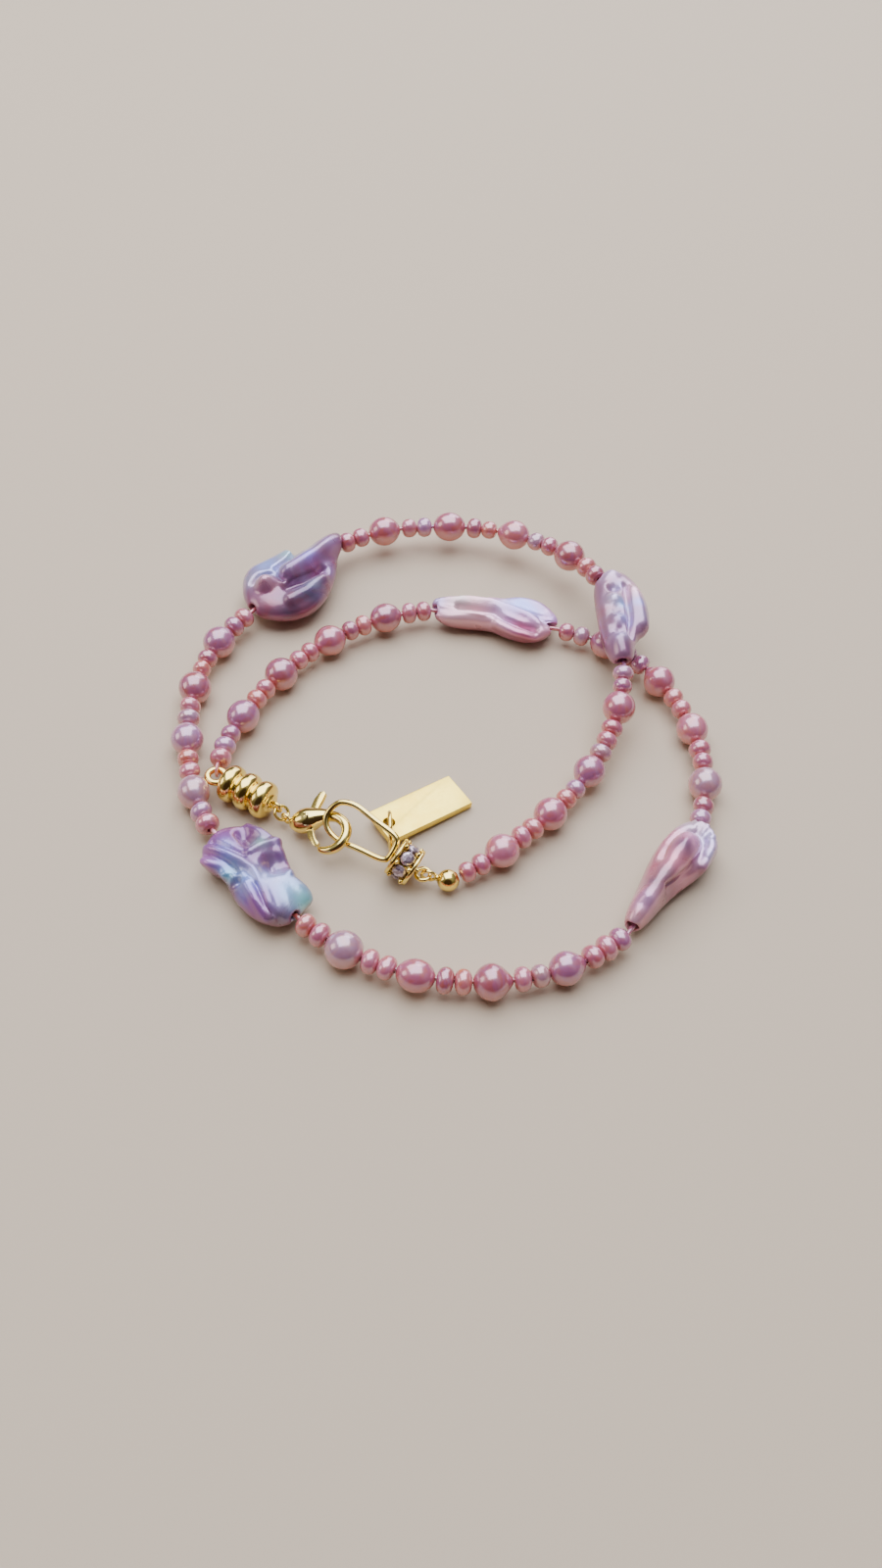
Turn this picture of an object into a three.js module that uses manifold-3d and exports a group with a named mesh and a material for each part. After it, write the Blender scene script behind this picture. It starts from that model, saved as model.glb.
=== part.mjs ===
// A two-turn bracelet of small drop pearls, button spacer pearls and five flat keshi pearls, with a gold
// lobster clasp, lying in a loose spiral. Millimetres, +Z up, the table at z = 0.
import * as THREE from "three";
import { mergeVertices } from "three/addons/utils/BufferGeometryUtils.js";
import Module from "manifold-3d";

const wasm = await Module();
wasm.setup();

// Pearls and thread
const DROP = { length: 4.5, width: 4.3, sides: 10 };
const SPACER = { length: 1.9, width: 2.75, rim: 0.5 };
const BEAD_GAP = 0.12;
const THREAD_RADIUS = 0.28;
const THREAD_GAP = 0.3;
const DRILL_RADIUS = 0.6;
const DRILL_REACH = 14;
const STRAND_SIDES = 10;

// Gold wire and rings: radius of the ring, radius of its wire. An eye sinks a little into its end.
const WIRE_SIDES = 6;
const RING_STEPS = 12;
const EYE_SINK = 0.07;
const END_EYE = { ring: 1.05, wire: 0.3 };
const THREAD_EYE = { ring: 0.75, wire: 0.2 };
const CHAIN_EYE = { ring: 0.62, wire: 0.2 };
const CHAIN_LINK = { ring: 0.85, wire: 0.2 };
const CHAIN_DROP = 0.15;
const PIN_EYE = { ring: 0.8, wire: 0.24 };
const BALL_EYE = { ring: 0.8, wire: 0.2 };
const TAG_RING = { ring: 2.15, wire: 0.22 };
const LOOP_WIRE = 0.33;

// Ribbed tube between the string's end and the clasp
const RIB = { radius: 2.35, half: 0.95, pitch: 2.25, count: 3 };
const COLLAR_RADIUS = 1.5;
const TUBE = { centre: [-22.8, -12.6, 2.35], direction: [0.894, -0.447, 0], half: 3.6, sides: 12 };

// Lobster clasp: the claw's centre and the tail, which set its long axis, and how far its plane leans
const CLASP = { claw: [-12, -18.3, 3.2], tail: [-17.2, -15.7, 1.4], lean: [-0.39, -0.15, 0.91] };
const CLASP_GRID = { sides: 8, steps: 26 };
const CLASP_TAIL_EYE = [-17.9, -15.3, 1.25];
const SLOT = { half: 0.38, from: -5.35, to: -2.75, low: -1.6, high: 3.4 };
const PIVOT = { u: -3.7, w: 0.75, pin: 0.32, bore: 0.42, boss: 0.75, reach: 0.8 };
const LEVER_HALF = 0.27;

// Loop pin: the far bend of its wire loop, a point that sets the lean of the loop, and the closing bar
const LOOP = {
  bend: [-12.9, -16.4, 4.1],
  lean: [-10.7, -20.2, 1.95],
  bar: [-5.15, -20.6, 3.3],
  offset: 0.35,
};

// Crystal rondelle on the loop pin, its rim on the table and its axis sloping down to the ball
const RONDELLE = {
  centre: [-3.46, -21.37, 2.7],
  direction: [0.867, -0.39, -0.311],
  half: 1.45,
  radius: 2.35,
};
const RONDELLE_CORE = { radius: 1.55, bore: 0.6, flange: 0.5, stub: 0.3, sides: 16 };
const CRYSTAL = { count: 6, radius: 0.88, table: 0.45, crown: 0.5, seat: 1.3 };

// Gold end ball
const BALL = { centre: [1.6, -22.7, 1.6], radius: 1.3, hole: 0.58, depth: 1.9, sides: 14, rows: 8 };

// Plain tag that hangs on its ring, its free end on the table
const TAG = { length: 11.7, width: 5, thick: 0.9, hole: 0.7, inset: 1.35 };
const TAG_PLACE = { end: [-6.85, -16, 1.45], direction: [0.789, 0.614, -0.075] };
const TAG_RING_PLACE = { centre: [-5.55, -16.95, 2.5], normal: [0.99, 0.12, 0] };

// The spiral is set down so that the middle of its box is the origin.
const SETTLE = [-0.17, -0.1, 0];

// Route of the string between keshi pearls, from the ribbed tube to the gold ball. Each point is on the
// drill line of the pearls; spacers gives how many spacer pearls lie before each drop and after the last.
const STRETCHES = [
  {
    spacers: [3, 2, 2, 2, 2],
    route: [
      [-26.9, -8.75, 2.3],
      [-26.3, -4.2, 2.2],
      [-24.6, 0.6, 2.2],
      [-22, 5.9, 2.2],
      [-18.2, 11.1, 2.2],
      [-13.2, 15.6, 2.3],
      [-8.2, 18.6, 2.4],
      [-3, 20.3, 2.4],
    ],
  },
  {
    spacers: [2, 2, 2, 2, 2],
    route: [
      [14.2, 18.5, 2.2],
      [19.7, 16.8, 2.2],
      [24.1, 13.9, 2.2],
      [27.5, 10, 2.2],
      [30.1, 5.2, 2.2],
      [31.6, 0.2, 2.2],
      [32.1, -5, 2.2],
      [31.7, -9.4, 2.2],
      [30.8, -12.8, 2.3],
    ],
  },
  {
    spacers: [3, 2, 2, 2, 2],
    route: [
      [21.8, -28.7, 2.3],
      [16.9, -32.5, 2.2],
      [12.2, -34.7, 2.2],
      [7, -35.9, 2.2],
      [1.5, -36.1, 2.2],
      [-3.9, -35.2, 2.2],
      [-9.2, -33.2, 2.2],
      [-14.6, -30, 2.3],
    ],
  },
  {
    spacers: [2, 2, 2, 2, 2],
    route: [
      [-26.2, -18.6, 2.3],
      [-28.7, -14.2, 2.2],
      [-30.4, -9.2, 2.2],
      [-31.5, -4, 2.2],
      [-31.9, 1.5, 2.2],
      [-31.5, 7, 2.2],
      [-29.9, 12.2, 2.3],
      [-27, 17.1, 2.6],
    ],
  },
  {
    spacers: [2, 2, 2, 2, 2],
    route: [
      [-16.4, 31.1, 3.2],
      [-11.2, 34.1, 3.4],
      [-5.2, 35.7, 3.5],
      [0.9, 36.1, 3.7],
      [6.8, 35, 4.1],
      [12.2, 32.4, 4.7],
      [16.5, 28.7, 5.5],
      [19.2, 24.4, 6.3],
    ],
  },
  {
    spacers: [2, 3, 2, 2, 2],
    route: [
      [22, 8.9, 5.9],
      [21.7, 4.4, 4.9],
      [20.5, -0.2, 3.8],
      [18.7, -4.4, 2.9],
      [16.2, -8.6, 2.3],
      [13, -12.8, 2.2],
      [9.4, -16.7, 2.2],
      [5.6, -20.2, 2.1],
      [2.9, -22.1, 1.8],
    ],
  },
];

// Keshi pearls in string order, between one stretch and the next. The outline is seen from above, x along
// the drill line and y to its left; above and below give the pearl's faces over its drill line.
const KESHI = [
  {
    above: 1.5,
    below: 2.1,
    middle: [0, 1],
    outline: [
      [-8.8, 0.8],
      [-8.2, -1],
      [-6.5, -1.9],
      [-0.5, -1.3],
      [1.8, -2.2],
      [5.5, -2.8],
      [7.6, -1.4],
      [8.6, 1.2],
      [8.2, 2.5],
      [6.4, 4.3],
      [3.8, 4.9],
      [0, 4.2],
      [-4, 2.8],
      [-7, 2],
    ],
  },
  {
    above: 3,
    below: 2.2,
    middle: [-1.5, 0.2],
    outline: [
      [-9.2, -0.5],
      [-8.9, 1.6],
      [-8, 3.2],
      [-6.2, 3.7],
      [-3, 3.4],
      [-1.2, 2.8],
      [1.8, 1.9],
      [5, 1.4],
      [7.9, 0.9],
      [8.8, -0.1],
      [8, -1.2],
      [5.5, -1.6],
      [1.9, -2.1],
      [-1, -2.5],
      [-4.8, -2.5],
      [-7.6, -1.8],
    ],
  },
  {
    above: 2.3,
    below: 2.1,
    middle: [-0.4, -0.3],
    outline: [
      [7.6, 0.3],
      [7.2, -1.6],
      [5.1, -4],
      [2.6, -4.5],
      [0.2, -4.3],
      [-2.7, -3.1],
      [-4.2, -3.2],
      [-6, -3.6],
      [-7.4, -2.9],
      [-7.4, -1.5],
      [-8, 0.3],
      [-7.4, 2.1],
      [-5.6, 3.3],
      [-3, 3.8],
      [-0.4, 3.6],
      [1.9, 2.8],
      [3.5, 3.4],
      [5.2, 3.7],
      [6.3, 2.4],
    ],
  },
  {
    above: 2.4,
    below: 2.3,
    middle: [-0.5, -0.6],
    outline: [
      [9.2, 0.5],
      [8.3, 2],
      [6.3, 2.2],
      [3.9, 2.3],
      [3.3, 4.2],
      [1.4, 5],
      [-1.1, 5.3],
      [-3.9, 5.7],
      [-6.4, 3.9],
      [-8.1, 1.4],
      [-8.4, -1.2],
      [-6.8, -4.1],
      [-4.2, -5.9],
      [-0.6, -6],
      [3.4, -4.3],
      [7, -1.4],
    ],
  },
  {
    above: 2.1,
    below: 1.45,
    middle: [-1, 1.1],
    outline: [
      [7.6, 0.2],
      [6.9, 1.5],
      [4.8, 2.2],
      [3.4, 3],
      [2.4, 4.5],
      [-1.8, 5.4],
      [-5.4, 5],
      [-8.2, 3.6],
      [-9, 2.6],
      [-7.8, -0.5],
      [-5, -1.4],
      [0.9, -1.9],
      [5, -1.9],
      [7.3, -1.2],
    ],
  },
];
const KESHI_GRID = { around: 26, rings: 4, squareness: 0.62 };

const PEARL_COLOURS = [0xc98a9a, 0xb97f98, 0xd39aa3, 0xc48f8b];
const KESHI_COLOURS = [0xd9a9bf, 0xcf9bb4, 0xb9a0cf, 0x9d86a8, 0xc79fc0];
const gold = new THREE.MeshStandardMaterial({ color: 0xd9b24a, roughness: 0.18, metalness: 1 });
const spacerPearl = new THREE.MeshStandardMaterial({ color: 0xcf8f98, roughness: 0.25 });
const crystal = new THREE.MeshStandardMaterial({ color: 0xb9b0c4, roughness: 0.1 });
const pearl = (colour) => new THREE.MeshStandardMaterial({ color: colour, roughness: 0.22 });

const bracelet = new THREE.Group();
bracelet.position.set(...SETTLE);

const vec = (xyz) => new THREE.Vector3(...xyz);
const UP = new THREE.Vector3(0, 0, 1);

// A closed geometry as a solid that can be joined or cut.
function solid(geometry) {
  const bare = geometry.clone();
  bare.deleteAttribute("normal");
  bare.deleteAttribute("uv");
  const merged = mergeVertices(bare, 1e-4);
  const triVerts = new Uint32Array(merged.index.array);
  const vertProperties = new Float32Array(merged.getAttribute("position").array);
  return new wasm.Manifold(new wasm.Mesh({ numProp: 3, vertProperties, triVerts }));
}

// The faces of a solid as a geometry.
function faces(body) {
  const mesh = body.getMesh();
  const geometry = new THREE.BufferGeometry();
  geometry.setAttribute("position", new THREE.BufferAttribute(mesh.vertProperties, 3));
  geometry.setIndex(new THREE.BufferAttribute(mesh.triVerts, 1));
  geometry.computeVertexNormals();
  return geometry;
}

// Adds one named piece.
function piece(name, geometry, material) {
  const mesh = new THREE.Mesh(geometry, material);
  mesh.name = name;
  bracelet.add(mesh);
}

// Turns a profile of [along, radius] rows and carries every point to its place. The profile runs from the
// far end back to the near one.
function turned(profile, sides, place) {
  const outline = profile.map(([along, radius]) => new THREE.Vector2(radius, along));
  const geometry = new THREE.LatheGeometry(outline, sides);
  const position = geometry.getAttribute("position");
  for (let i = 0; i < position.count; i += 1) {
    const q = place(position.getY(i), position.getZ(i), position.getX(i));
    position.setXYZ(i, q.x, q.y, q.z);
  }
  return geometry;
}

// The frame of a piece: origin, long axis x, and z as near as can be to the given upward direction.
function frame(origin, along, upward = UP) {
  const x = along.clone().normalize();
  const z = upward.clone().addScaledVector(x, -upward.dot(x)).normalize();
  const y = z.clone().cross(x);
  return new THREE.Matrix4().makeBasis(x, y, z).setPosition(origin);
}

// A straight turned body along the x axis of a frame.
function turnedOn(matrix, profile, sides) {
  return turned(profile, sides, (along, a, b) => new THREE.Vector3(along, a, b).applyMatrix4(matrix));
}

// A wire ring with its centre and the normal of its plane.
function ring(size, centre, normal) {
  const torus = new THREE.TorusGeometry(size.ring, size.wire, WIRE_SIDES, RING_STEPS);
  const turn = new THREE.Quaternion().setFromUnitVectors(UP, normal.clone().normalize());
  return torus.applyMatrix4(new THREE.Matrix4().compose(centre, turn, new THREE.Vector3(1, 1, 1)));
}

const joined = (...geometries) => geometries.map(solid).reduce((a, b) => a.add(b));

// String: its route, alternately curved through beads and straight through a keshi pearl
const eyeCentre = vec(TUBE.centre).addScaledVector(vec(TUBE.direction), -TUBE.half - END_EYE.ring + EYE_SINK);
const string = new THREE.CurvePath();
const stretches = STRETCHES.map(({ route, spacers }) => {
  const curve = new THREE.CatmullRomCurve3(route.map(vec), false, "centripetal");
  return { curve, spacers, start: curve.points[0], end: curve.points.at(-1), length: curve.getLength() };
});
let reach = 0;
stretches.forEach((stretch, i) => {
  stretch.from = reach;
  string.add(stretch.curve);
  reach += stretch.length;
  if (i < stretches.length - 1) {
    const drill = new THREE.LineCurve3(stretch.end, stretches[i + 1].start);
    string.add(drill);
    stretch.drill = drill;
    reach += drill.getLength();
  }
});

// Point and frame of the string at a distance along it.
function onString(distance, side, upward) {
  const at = Math.min(Math.max(distance / reach, 0), 1);
  const point = string.getPoint(at);
  const along = string.getTangent(at);
  const left = UP.clone().cross(along).normalize();
  const over = along.clone().cross(left);
  return point.addScaledVector(left, side).addScaledVector(over, upward);
}

// Lays the beads of one stretch end to end: each has a kind, its place on the string and its length.
function beadsOf({ spacers, from, length }) {
  const kinds = spacers.flatMap((count, i) => [
    ...Array(count).fill("spacer"),
    ...(i < spacers.length - 1 ? ["drop"] : []),
  ]);
  const nominal = kinds.reduce((sum, kind) => sum + BEAD_GAP + (kind === "drop" ? DROP : SPACER).length, 0);
  const fit = (length - BEAD_GAP) / nominal;
  let at = from + BEAD_GAP;
  return kinds.map((kind) => {
    const size = (kind === "drop" ? DROP : SPACER).length * fit;
    const bead = { kind, centre: at + size / 2, length: size };
    at += size + BEAD_GAP * fit;
    return bead;
  });
}
const beads = stretches.flatMap(beadsOf);

// Drop pearls, drilled through, each a little narrower towards one end
beads
  .filter(({ kind }) => kind === "drop")
  .forEach(({ centre, length }, i) => {
    const taper = 0.16 * Math.sin(2.4 * i + 0.6);
    const radius = (DROP.width / 2) * (0.97 + 0.03 * Math.cos(1.7 * i));
    const station = (t) => [
      centre + (t * length) / 2,
      Math.max(radius * Math.pow(1 - t * t, 0.48) * (1 + taper * t), DRILL_RADIUS),
    ];
    const shoulder = 0.955;
    const outside = [-shoulder, -0.72, -0.26, 0.26, 0.72, shoulder].map(station);
    const bore = [
      [outside.at(-1)[0], DRILL_RADIUS],
      [outside[0][0], DRILL_RADIUS],
      outside[0],
    ];
    const name = "drop_pearl_" + String(i + 1).padStart(2, "0");
    const profile = [...outside, ...bore];
    piece(name, turned(profile, DROP.sides, onString), pearl(PEARL_COLOURS[i % PEARL_COLOURS.length]));
  });

// One strand: the thread between two places, swelling into each spacer pearl on the way
function strand(from, to) {
  const profile = [
    [from, 0],
    [from, THREAD_RADIUS],
  ];
  for (const { kind, centre, length } of beads) {
    if (kind !== "spacer" || centre < from || centre > to) continue;
    const half = length / 2;
    profile.push(
      [centre - half, THREAD_RADIUS],
      [centre - SPACER.rim * half, SPACER.width / 2],
      [centre + SPACER.rim * half, SPACER.width / 2],
      [centre + half, THREAD_RADIUS],
    );
  }
  profile.push([to, THREAD_RADIUS], [to, 0]);
  return turned(profile, STRAND_SIDES, onString);
}
const middle = stretches[2].from + stretches[2].length + stretches[2].drill.getLength() / 2;
const intoString = stretches[0].start.clone().sub(eyeCentre).normalize();
const threadEye = ring(
  THREAD_EYE,
  eyeCentre.clone().addScaledVector(intoString, END_EYE.ring),
  intoString.clone().cross(UP),
);
const innerThread = strand(0, middle - THREAD_GAP / 2);
piece("strand_inner", faces(joined(innerThread, threadEye)), spacerPearl);
piece("strand_outer", strand(middle + THREAD_GAP / 2, reach), spacerPearl);

// Keshi pearls: a cushion over its outline, drilled along the string
KESHI.forEach(({ above, below, middle: [midX, midY], outline }, i) => {
  const start = stretches[i].end;
  const end = stretches[i + 1].start;
  const centre = start.clone().add(end).multiplyScalar(0.5);
  const place = frame(centre, end.clone().sub(start));
  const rim = new THREE.CatmullRomCurve3(
    outline.map(([x, y]) => new THREE.Vector3(x, y, 0)),
    true,
    "centripetal",
  ).getPoints(KESHI_GRID.around);
  rim.pop();
  const clockwise = THREE.ShapeUtils.isClockWise(rim);
  if (clockwise) rim.reverse();
  const shell = turned(
    Array.from({ length: 2 * KESHI_GRID.rings + 1 }, (_, k) => {
      const angle = (Math.PI * k) / (2 * KESHI_GRID.rings) - Math.PI / 2;
      return [angle, Math.cos(angle)];
    }),
    KESHI_GRID.around,
    (angle, a, b) => {
      const out = Math.hypot(a, b);
      const turn = (Math.atan2(b, a) + 2 * Math.PI) % (2 * Math.PI);
      const rimPoint = rim[Math.round((turn / (2 * Math.PI)) * KESHI_GRID.around) % KESHI_GRID.around];
      const spread = Math.pow(Math.min(out, 1), KESHI_GRID.squareness);
      const height = Math.sin(angle) * (angle > 0 ? above : below);
      return new THREE.Vector3(
        midX + (rimPoint.x - midX) * spread,
        midY + (rimPoint.y - midY) * spread,
        height,
      ).applyMatrix4(place);
    },
  );
  const drill = turnedOn(
    place,
    [
      [-DRILL_REACH, 0],
      [-DRILL_REACH, DRILL_RADIUS],
      [DRILL_REACH, DRILL_RADIUS],
      [DRILL_REACH, 0],
    ],
    8,
  );
  piece("keshi_pearl_" + (i + 1), faces(solid(shell).subtract(solid(drill))), pearl(KESHI_COLOURS[i]));
});

// Ribbed tube: three fat ribs on a collar, an eye at each end
const tubeFrame = frame(vec(TUBE.centre), vec(TUBE.direction));
const tubeProfile = [
  [-TUBE.half, 0],
  [-TUBE.half, 1.1],
  [-TUBE.half + 0.2, 1.25],
];
for (let k = 0; k < RIB.count; k += 1) {
  const c = (k - (RIB.count - 1) / 2) * RIB.pitch;
  tubeProfile.push(
    [c - RIB.half, COLLAR_RADIUS],
    [c - 0.75 * RIB.half, 0.87 * RIB.radius],
    [c - 0.3 * RIB.half, RIB.radius],
    [c + 0.3 * RIB.half, RIB.radius],
    [c + 0.75 * RIB.half, 0.87 * RIB.radius],
    [c + RIB.half, COLLAR_RADIUS],
  );
}
tubeProfile.push([TUBE.half - 0.2, 1.25], [TUBE.half, 1.1], [TUBE.half, 0]);
const tubeEnd = vec(TUBE.centre)
  .addScaledVector(vec(TUBE.direction), TUBE.half + CHAIN_EYE.ring - EYE_SINK)
  .add(new THREE.Vector3(0, 0, -CHAIN_DROP));
const tailEye = vec(CLASP_TAIL_EYE);
const chain = tailEye.clone().sub(tubeEnd);
const chainSide = chain.clone().cross(UP).normalize();
piece(
  "ribbed_tube",
  faces(
    joined(
      turnedOn(tubeFrame, tubeProfile, TUBE.sides),
      ring(END_EYE, eyeCentre, UP),
      ring(CHAIN_EYE, tubeEnd, chainSide),
    ),
  ),
  gold,
);
piece(
  "clasp_link",
  ring(CHAIN_LINK, tubeEnd.clone().add(tailEye).multiplyScalar(0.5), chain.clone().cross(chainSide)),
  gold,
);

// Lobster clasp. Its own frame: u from tail to claw, w towards the thumb tab, n out of its plane.
const claspFrame = frame(vec(CLASP.claw), vec(CLASP.claw).sub(vec(CLASP.tail)), vec(CLASP.lean));

// A body with oval sections along a line in the clasp's plane: each row is a point of the line, the half
// width in the plane and the half thickness across it.
function claspBody(rows) {
  const line = new THREE.CatmullRomCurve3(rows.map(({ u, w }) => new THREE.Vector3(u, w, 0)));
  const sizes = new THREE.CatmullRomCurve3(rows.map(({ half, thick }) => new THREE.Vector3(half, thick, 0)));
  const profile = [[0, 0]];
  for (let k = 0; k <= CLASP_GRID.steps; k += 1) profile.push([k / CLASP_GRID.steps, 1]);
  profile.push([1, 0]);
  return turned(profile, CLASP_GRID.sides, (t, a, b) => {
    const point = line.getPoint(t);
    const along = line.getTangent(t);
    const size = sizes.getPoint(t);
    const across = new THREE.Vector3(-along.y, along.x, 0).normalize();
    return point
      .addScaledVector(across, a * size.x)
      .add(new THREE.Vector3(0, 0, b * size.y))
      .applyMatrix4(claspFrame);
  });
}

// A flat plate in the clasp's plane, given by its outline.
function claspPlate(outline, half) {
  const shape = new THREE.Shape(outline.map(([u, w]) => new THREE.Vector2(u, w)));
  const plate = new THREE.ExtrudeGeometry(shape, { depth: 2 * half, bevelEnabled: false });
  return plate.translate(0, 0, -half).applyMatrix4(claspFrame);
}

// A round bar across the clasp's plane.
function claspBar(u, w, radius, half, sides) {
  const bar = new THREE.CylinderGeometry(radius, radius, 2 * half, sides);
  return bar.rotateX(Math.PI / 2).translate(u, w, 0).applyMatrix4(claspFrame);
}

const HOOK_ROWS = [
  { u: -6.3, w: 0, half: 0.32, thick: 0.32 },
  { u: -5.7, w: 0.1, half: 0.62, thick: 0.72 },
  { u: -4.9, w: 0.55, half: 0.95, thick: 0.95 },
  { u: -3.8, w: 1.15, half: 1.02, thick: 0.95 },
  { u: -2.7, w: 1.6, half: 0.82, thick: 0.72 },
  { u: -1.6, w: 1.88, half: 0.6, thick: 0.5 },
  { u: -0.4, w: 1.92, half: 0.52, thick: 0.5 },
  { u: 0.8, w: 1.5, half: 0.5, thick: 0.5 },
  { u: 1.6, w: 0.6, half: 0.5, thick: 0.5 },
  { u: 1.75, w: -0.5, half: 0.5, thick: 0.5 },
  { u: 1.3, w: -1.6, half: 0.48, thick: 0.5 },
  { u: 0.4, w: -2.25, half: 0.44, thick: 0.48 },
  { u: -0.55, w: -2.4, half: 0.36, thick: 0.42 },
  { u: -0.9, w: -2.35, half: 0.15, thick: 0.2 },
];
const slotOutline = [
  [SLOT.from, SLOT.low],
  [SLOT.to, SLOT.low],
  [SLOT.to, SLOT.high],
  [SLOT.from, SLOT.high],
];
const hookBody = solid(claspBody(HOOK_ROWS))
  .subtract(solid(claspPlate(slotOutline, SLOT.half)))
  .add(solid(claspBar(PIVOT.u, PIVOT.w, PIVOT.pin, PIVOT.reach, 10)))
  .add(solid(ring(CHAIN_EYE, tailEye, chainSide)));
piece("clasp_hook", faces(hookBody), gold);

// Lever: a gate that closes the claw, and a thumb tab past the clasp's back
const GATE = [
  [-4.2, 0.6],
  [-3.75, 0.05],
  [-3.35, -0.75],
  [-2.6, -1.6],
  [-1.5, -2.2],
  [-1.15, -2.15],
  [-1.05, -1.75],
  [-1.75, -1.35],
  [-2.5, -0.6],
  [-3.2, 0.6],
];
const TAB = [
  [-4.2, 0.7],
  [-3.3, 0.7],
  [-3.35, 2.5],
  [-3.3, 3.4],
  [-3.35, 4.3],
  [-3.7, 4.55],
  [-4.15, 4.3],
  [-4.4, 3.3],
  [-4.35, 2.5],
];
const leverBody = joined(
  claspPlate(GATE, LEVER_HALF),
  claspPlate(TAB, LEVER_HALF),
  claspBar(PIVOT.u, PIVOT.w, PIVOT.boss, LEVER_HALF, 14),
).subtract(solid(claspBar(PIVOT.u, PIVOT.w, PIVOT.bore, PIVOT.reach, 12)));
piece("clasp_lever", faces(leverBody), gold);

// Loop pin: a long wire loop that the claw holds, its pin through the rondelle, and an eye
const pinDirection = vec(RONDELLE.direction).normalize();
const rondelleCentre = vec(RONDELLE.centre);
const loopLength = vec(LOOP.bar).distanceTo(vec(LOOP.bend));
const loopLean = vec(LOOP.bar).sub(vec(LOOP.bend)).cross(vec(LOOP.lean).sub(vec(LOOP.bend)));
const loopFrame = frame(
  vec(LOOP.bend),
  vec(LOOP.bar).sub(vec(LOOP.bend)),
  loopLean.z > 0 ? loopLean : loopLean.negate(),
);
const LOOP_HALF = [
  { a: 0.6, half: 1.5 },
  { a: 2.2, half: 2.2 },
  { a: 5.4, half: 1.9 },
  { a: loopLength - 0.45, half: 1.5 },
  { a: loopLength, half: 1.1 },
];
const loopPoints = [
  new THREE.Vector3(0, 0, 0),
  ...LOOP_HALF.map(({ a, half }) => new THREE.Vector3(a, LOOP.offset + half, 0)),
  ...[...LOOP_HALF].reverse().map(({ a, half }) => new THREE.Vector3(a, LOOP.offset - half, 0)),
].map((q) => q.applyMatrix4(loopFrame));
const loopWire = new THREE.TubeGeometry(
  new THREE.CatmullRomCurve3(loopPoints, true, "centripetal"),
  40,
  LOOP_WIRE,
  WIRE_SIDES,
  true,
);
const pinStart = vec(LOOP.bar);
const pinEnd = rondelleCentre.clone().addScaledVector(pinDirection, RONDELLE.half + RONDELLE_CORE.stub);
const pinEyeCentre = pinEnd.clone().addScaledVector(pinDirection, PIN_EYE.ring - EYE_SINK);
const pinFrame = frame(pinStart, pinEnd.clone().sub(pinStart));
const pinLength = pinEnd.distanceTo(pinStart);
const pinWire = turnedOn(
  pinFrame,
  [
    [0, 0],
    [0, THREAD_RADIUS],
    [pinLength, THREAD_RADIUS],
    [pinLength, 0],
  ],
  8,
);
piece("loop_pin", faces(joined(loopWire, pinWire, ring(PIN_EYE, pinEyeCentre, UP))), gold);

// Rondelle: a drilled spool with two flanges, cut stones set all round between them
const rondelleFrame = frame(rondelleCentre, pinDirection);
const spool = turnedOn(
  rondelleFrame,
  [
    [-RONDELLE.half, RONDELLE_CORE.bore],
    [-RONDELLE.half, 0.9 * RONDELLE.radius],
    [-RONDELLE.half + 0.1, RONDELLE.radius],
    [-RONDELLE.half + RONDELLE_CORE.flange, RONDELLE.radius],
    [-RONDELLE.half + RONDELLE_CORE.flange, RONDELLE_CORE.radius],
    [RONDELLE.half - RONDELLE_CORE.flange, RONDELLE_CORE.radius],
    [RONDELLE.half - RONDELLE_CORE.flange, RONDELLE.radius],
    [RONDELLE.half - 0.1, RONDELLE.radius],
    [RONDELLE.half, 0.9 * RONDELLE.radius],
    [RONDELLE.half, RONDELLE_CORE.bore],
    [-RONDELLE.half, RONDELLE_CORE.bore],
  ],
  RONDELLE_CORE.sides,
);
const stones = Array.from({ length: CRYSTAL.count }, (_, k) => {
  const stone = new THREE.CylinderGeometry(CRYSTAL.table, CRYSTAL.radius, CRYSTAL.crown, 8);
  const angle = (2 * Math.PI * (k + 0.25)) / CRYSTAL.count;
  stone.translate(0, CRYSTAL.crown / 2 + 0.55, 0);
  const girdle = new THREE.CylinderGeometry(CRYSTAL.radius, CRYSTAL.radius, 0.6, 8).translate(0, 0.25, 0);
  const turn = new THREE.Matrix4().makeRotationX(angle);
  const lift = new THREE.Matrix4().makeTranslation(0, CRYSTAL.seat, 0);
  const place = rondelleFrame.clone().multiply(turn).multiply(lift);
  return solid(stone.applyMatrix4(place)).add(solid(girdle.applyMatrix4(place)));
});
piece("rondelle", faces(stones.reduce((body, stone) => body.add(stone), solid(spool))), crystal);

// End ball: drilled for the thread, with an eye in the eye of the loop pin
const ballCentre = vec(BALL.centre);
const towardsPin = pinEyeCentre.clone().sub(ballCentre).normalize();
const intoBall = stretches.at(-1).end.clone().sub(ballCentre).normalize();
const ballEyeCentre = ballCentre.clone().addScaledVector(towardsPin, BALL.radius + BALL_EYE.ring + 0.2);
const ballFrame = frame(ballCentre, towardsPin);
const ballBody = new THREE.SphereGeometry(BALL.radius, BALL.sides, BALL.rows).applyMatrix4(ballFrame);
const neck = turnedOn(
  ballFrame,
  [
    [0.8, 0],
    [0.8, 0.4],
    [BALL.radius + 0.25, 0.4],
    [BALL.radius + 0.25, 0],
  ],
  8,
);
const ballHole = turnedOn(
  frame(ballCentre, intoBall),
  [
    [-0.4, 0],
    [-0.4, BALL.hole],
    [BALL.depth, BALL.hole],
    [BALL.depth, 0],
  ],
  8,
);
const ballEye = ring(BALL_EYE, ballEyeCentre, towardsPin.clone().cross(UP));
piece("end_ball", faces(joined(ballBody, neck, ballEye).subtract(solid(ballHole))), gold);

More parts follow.
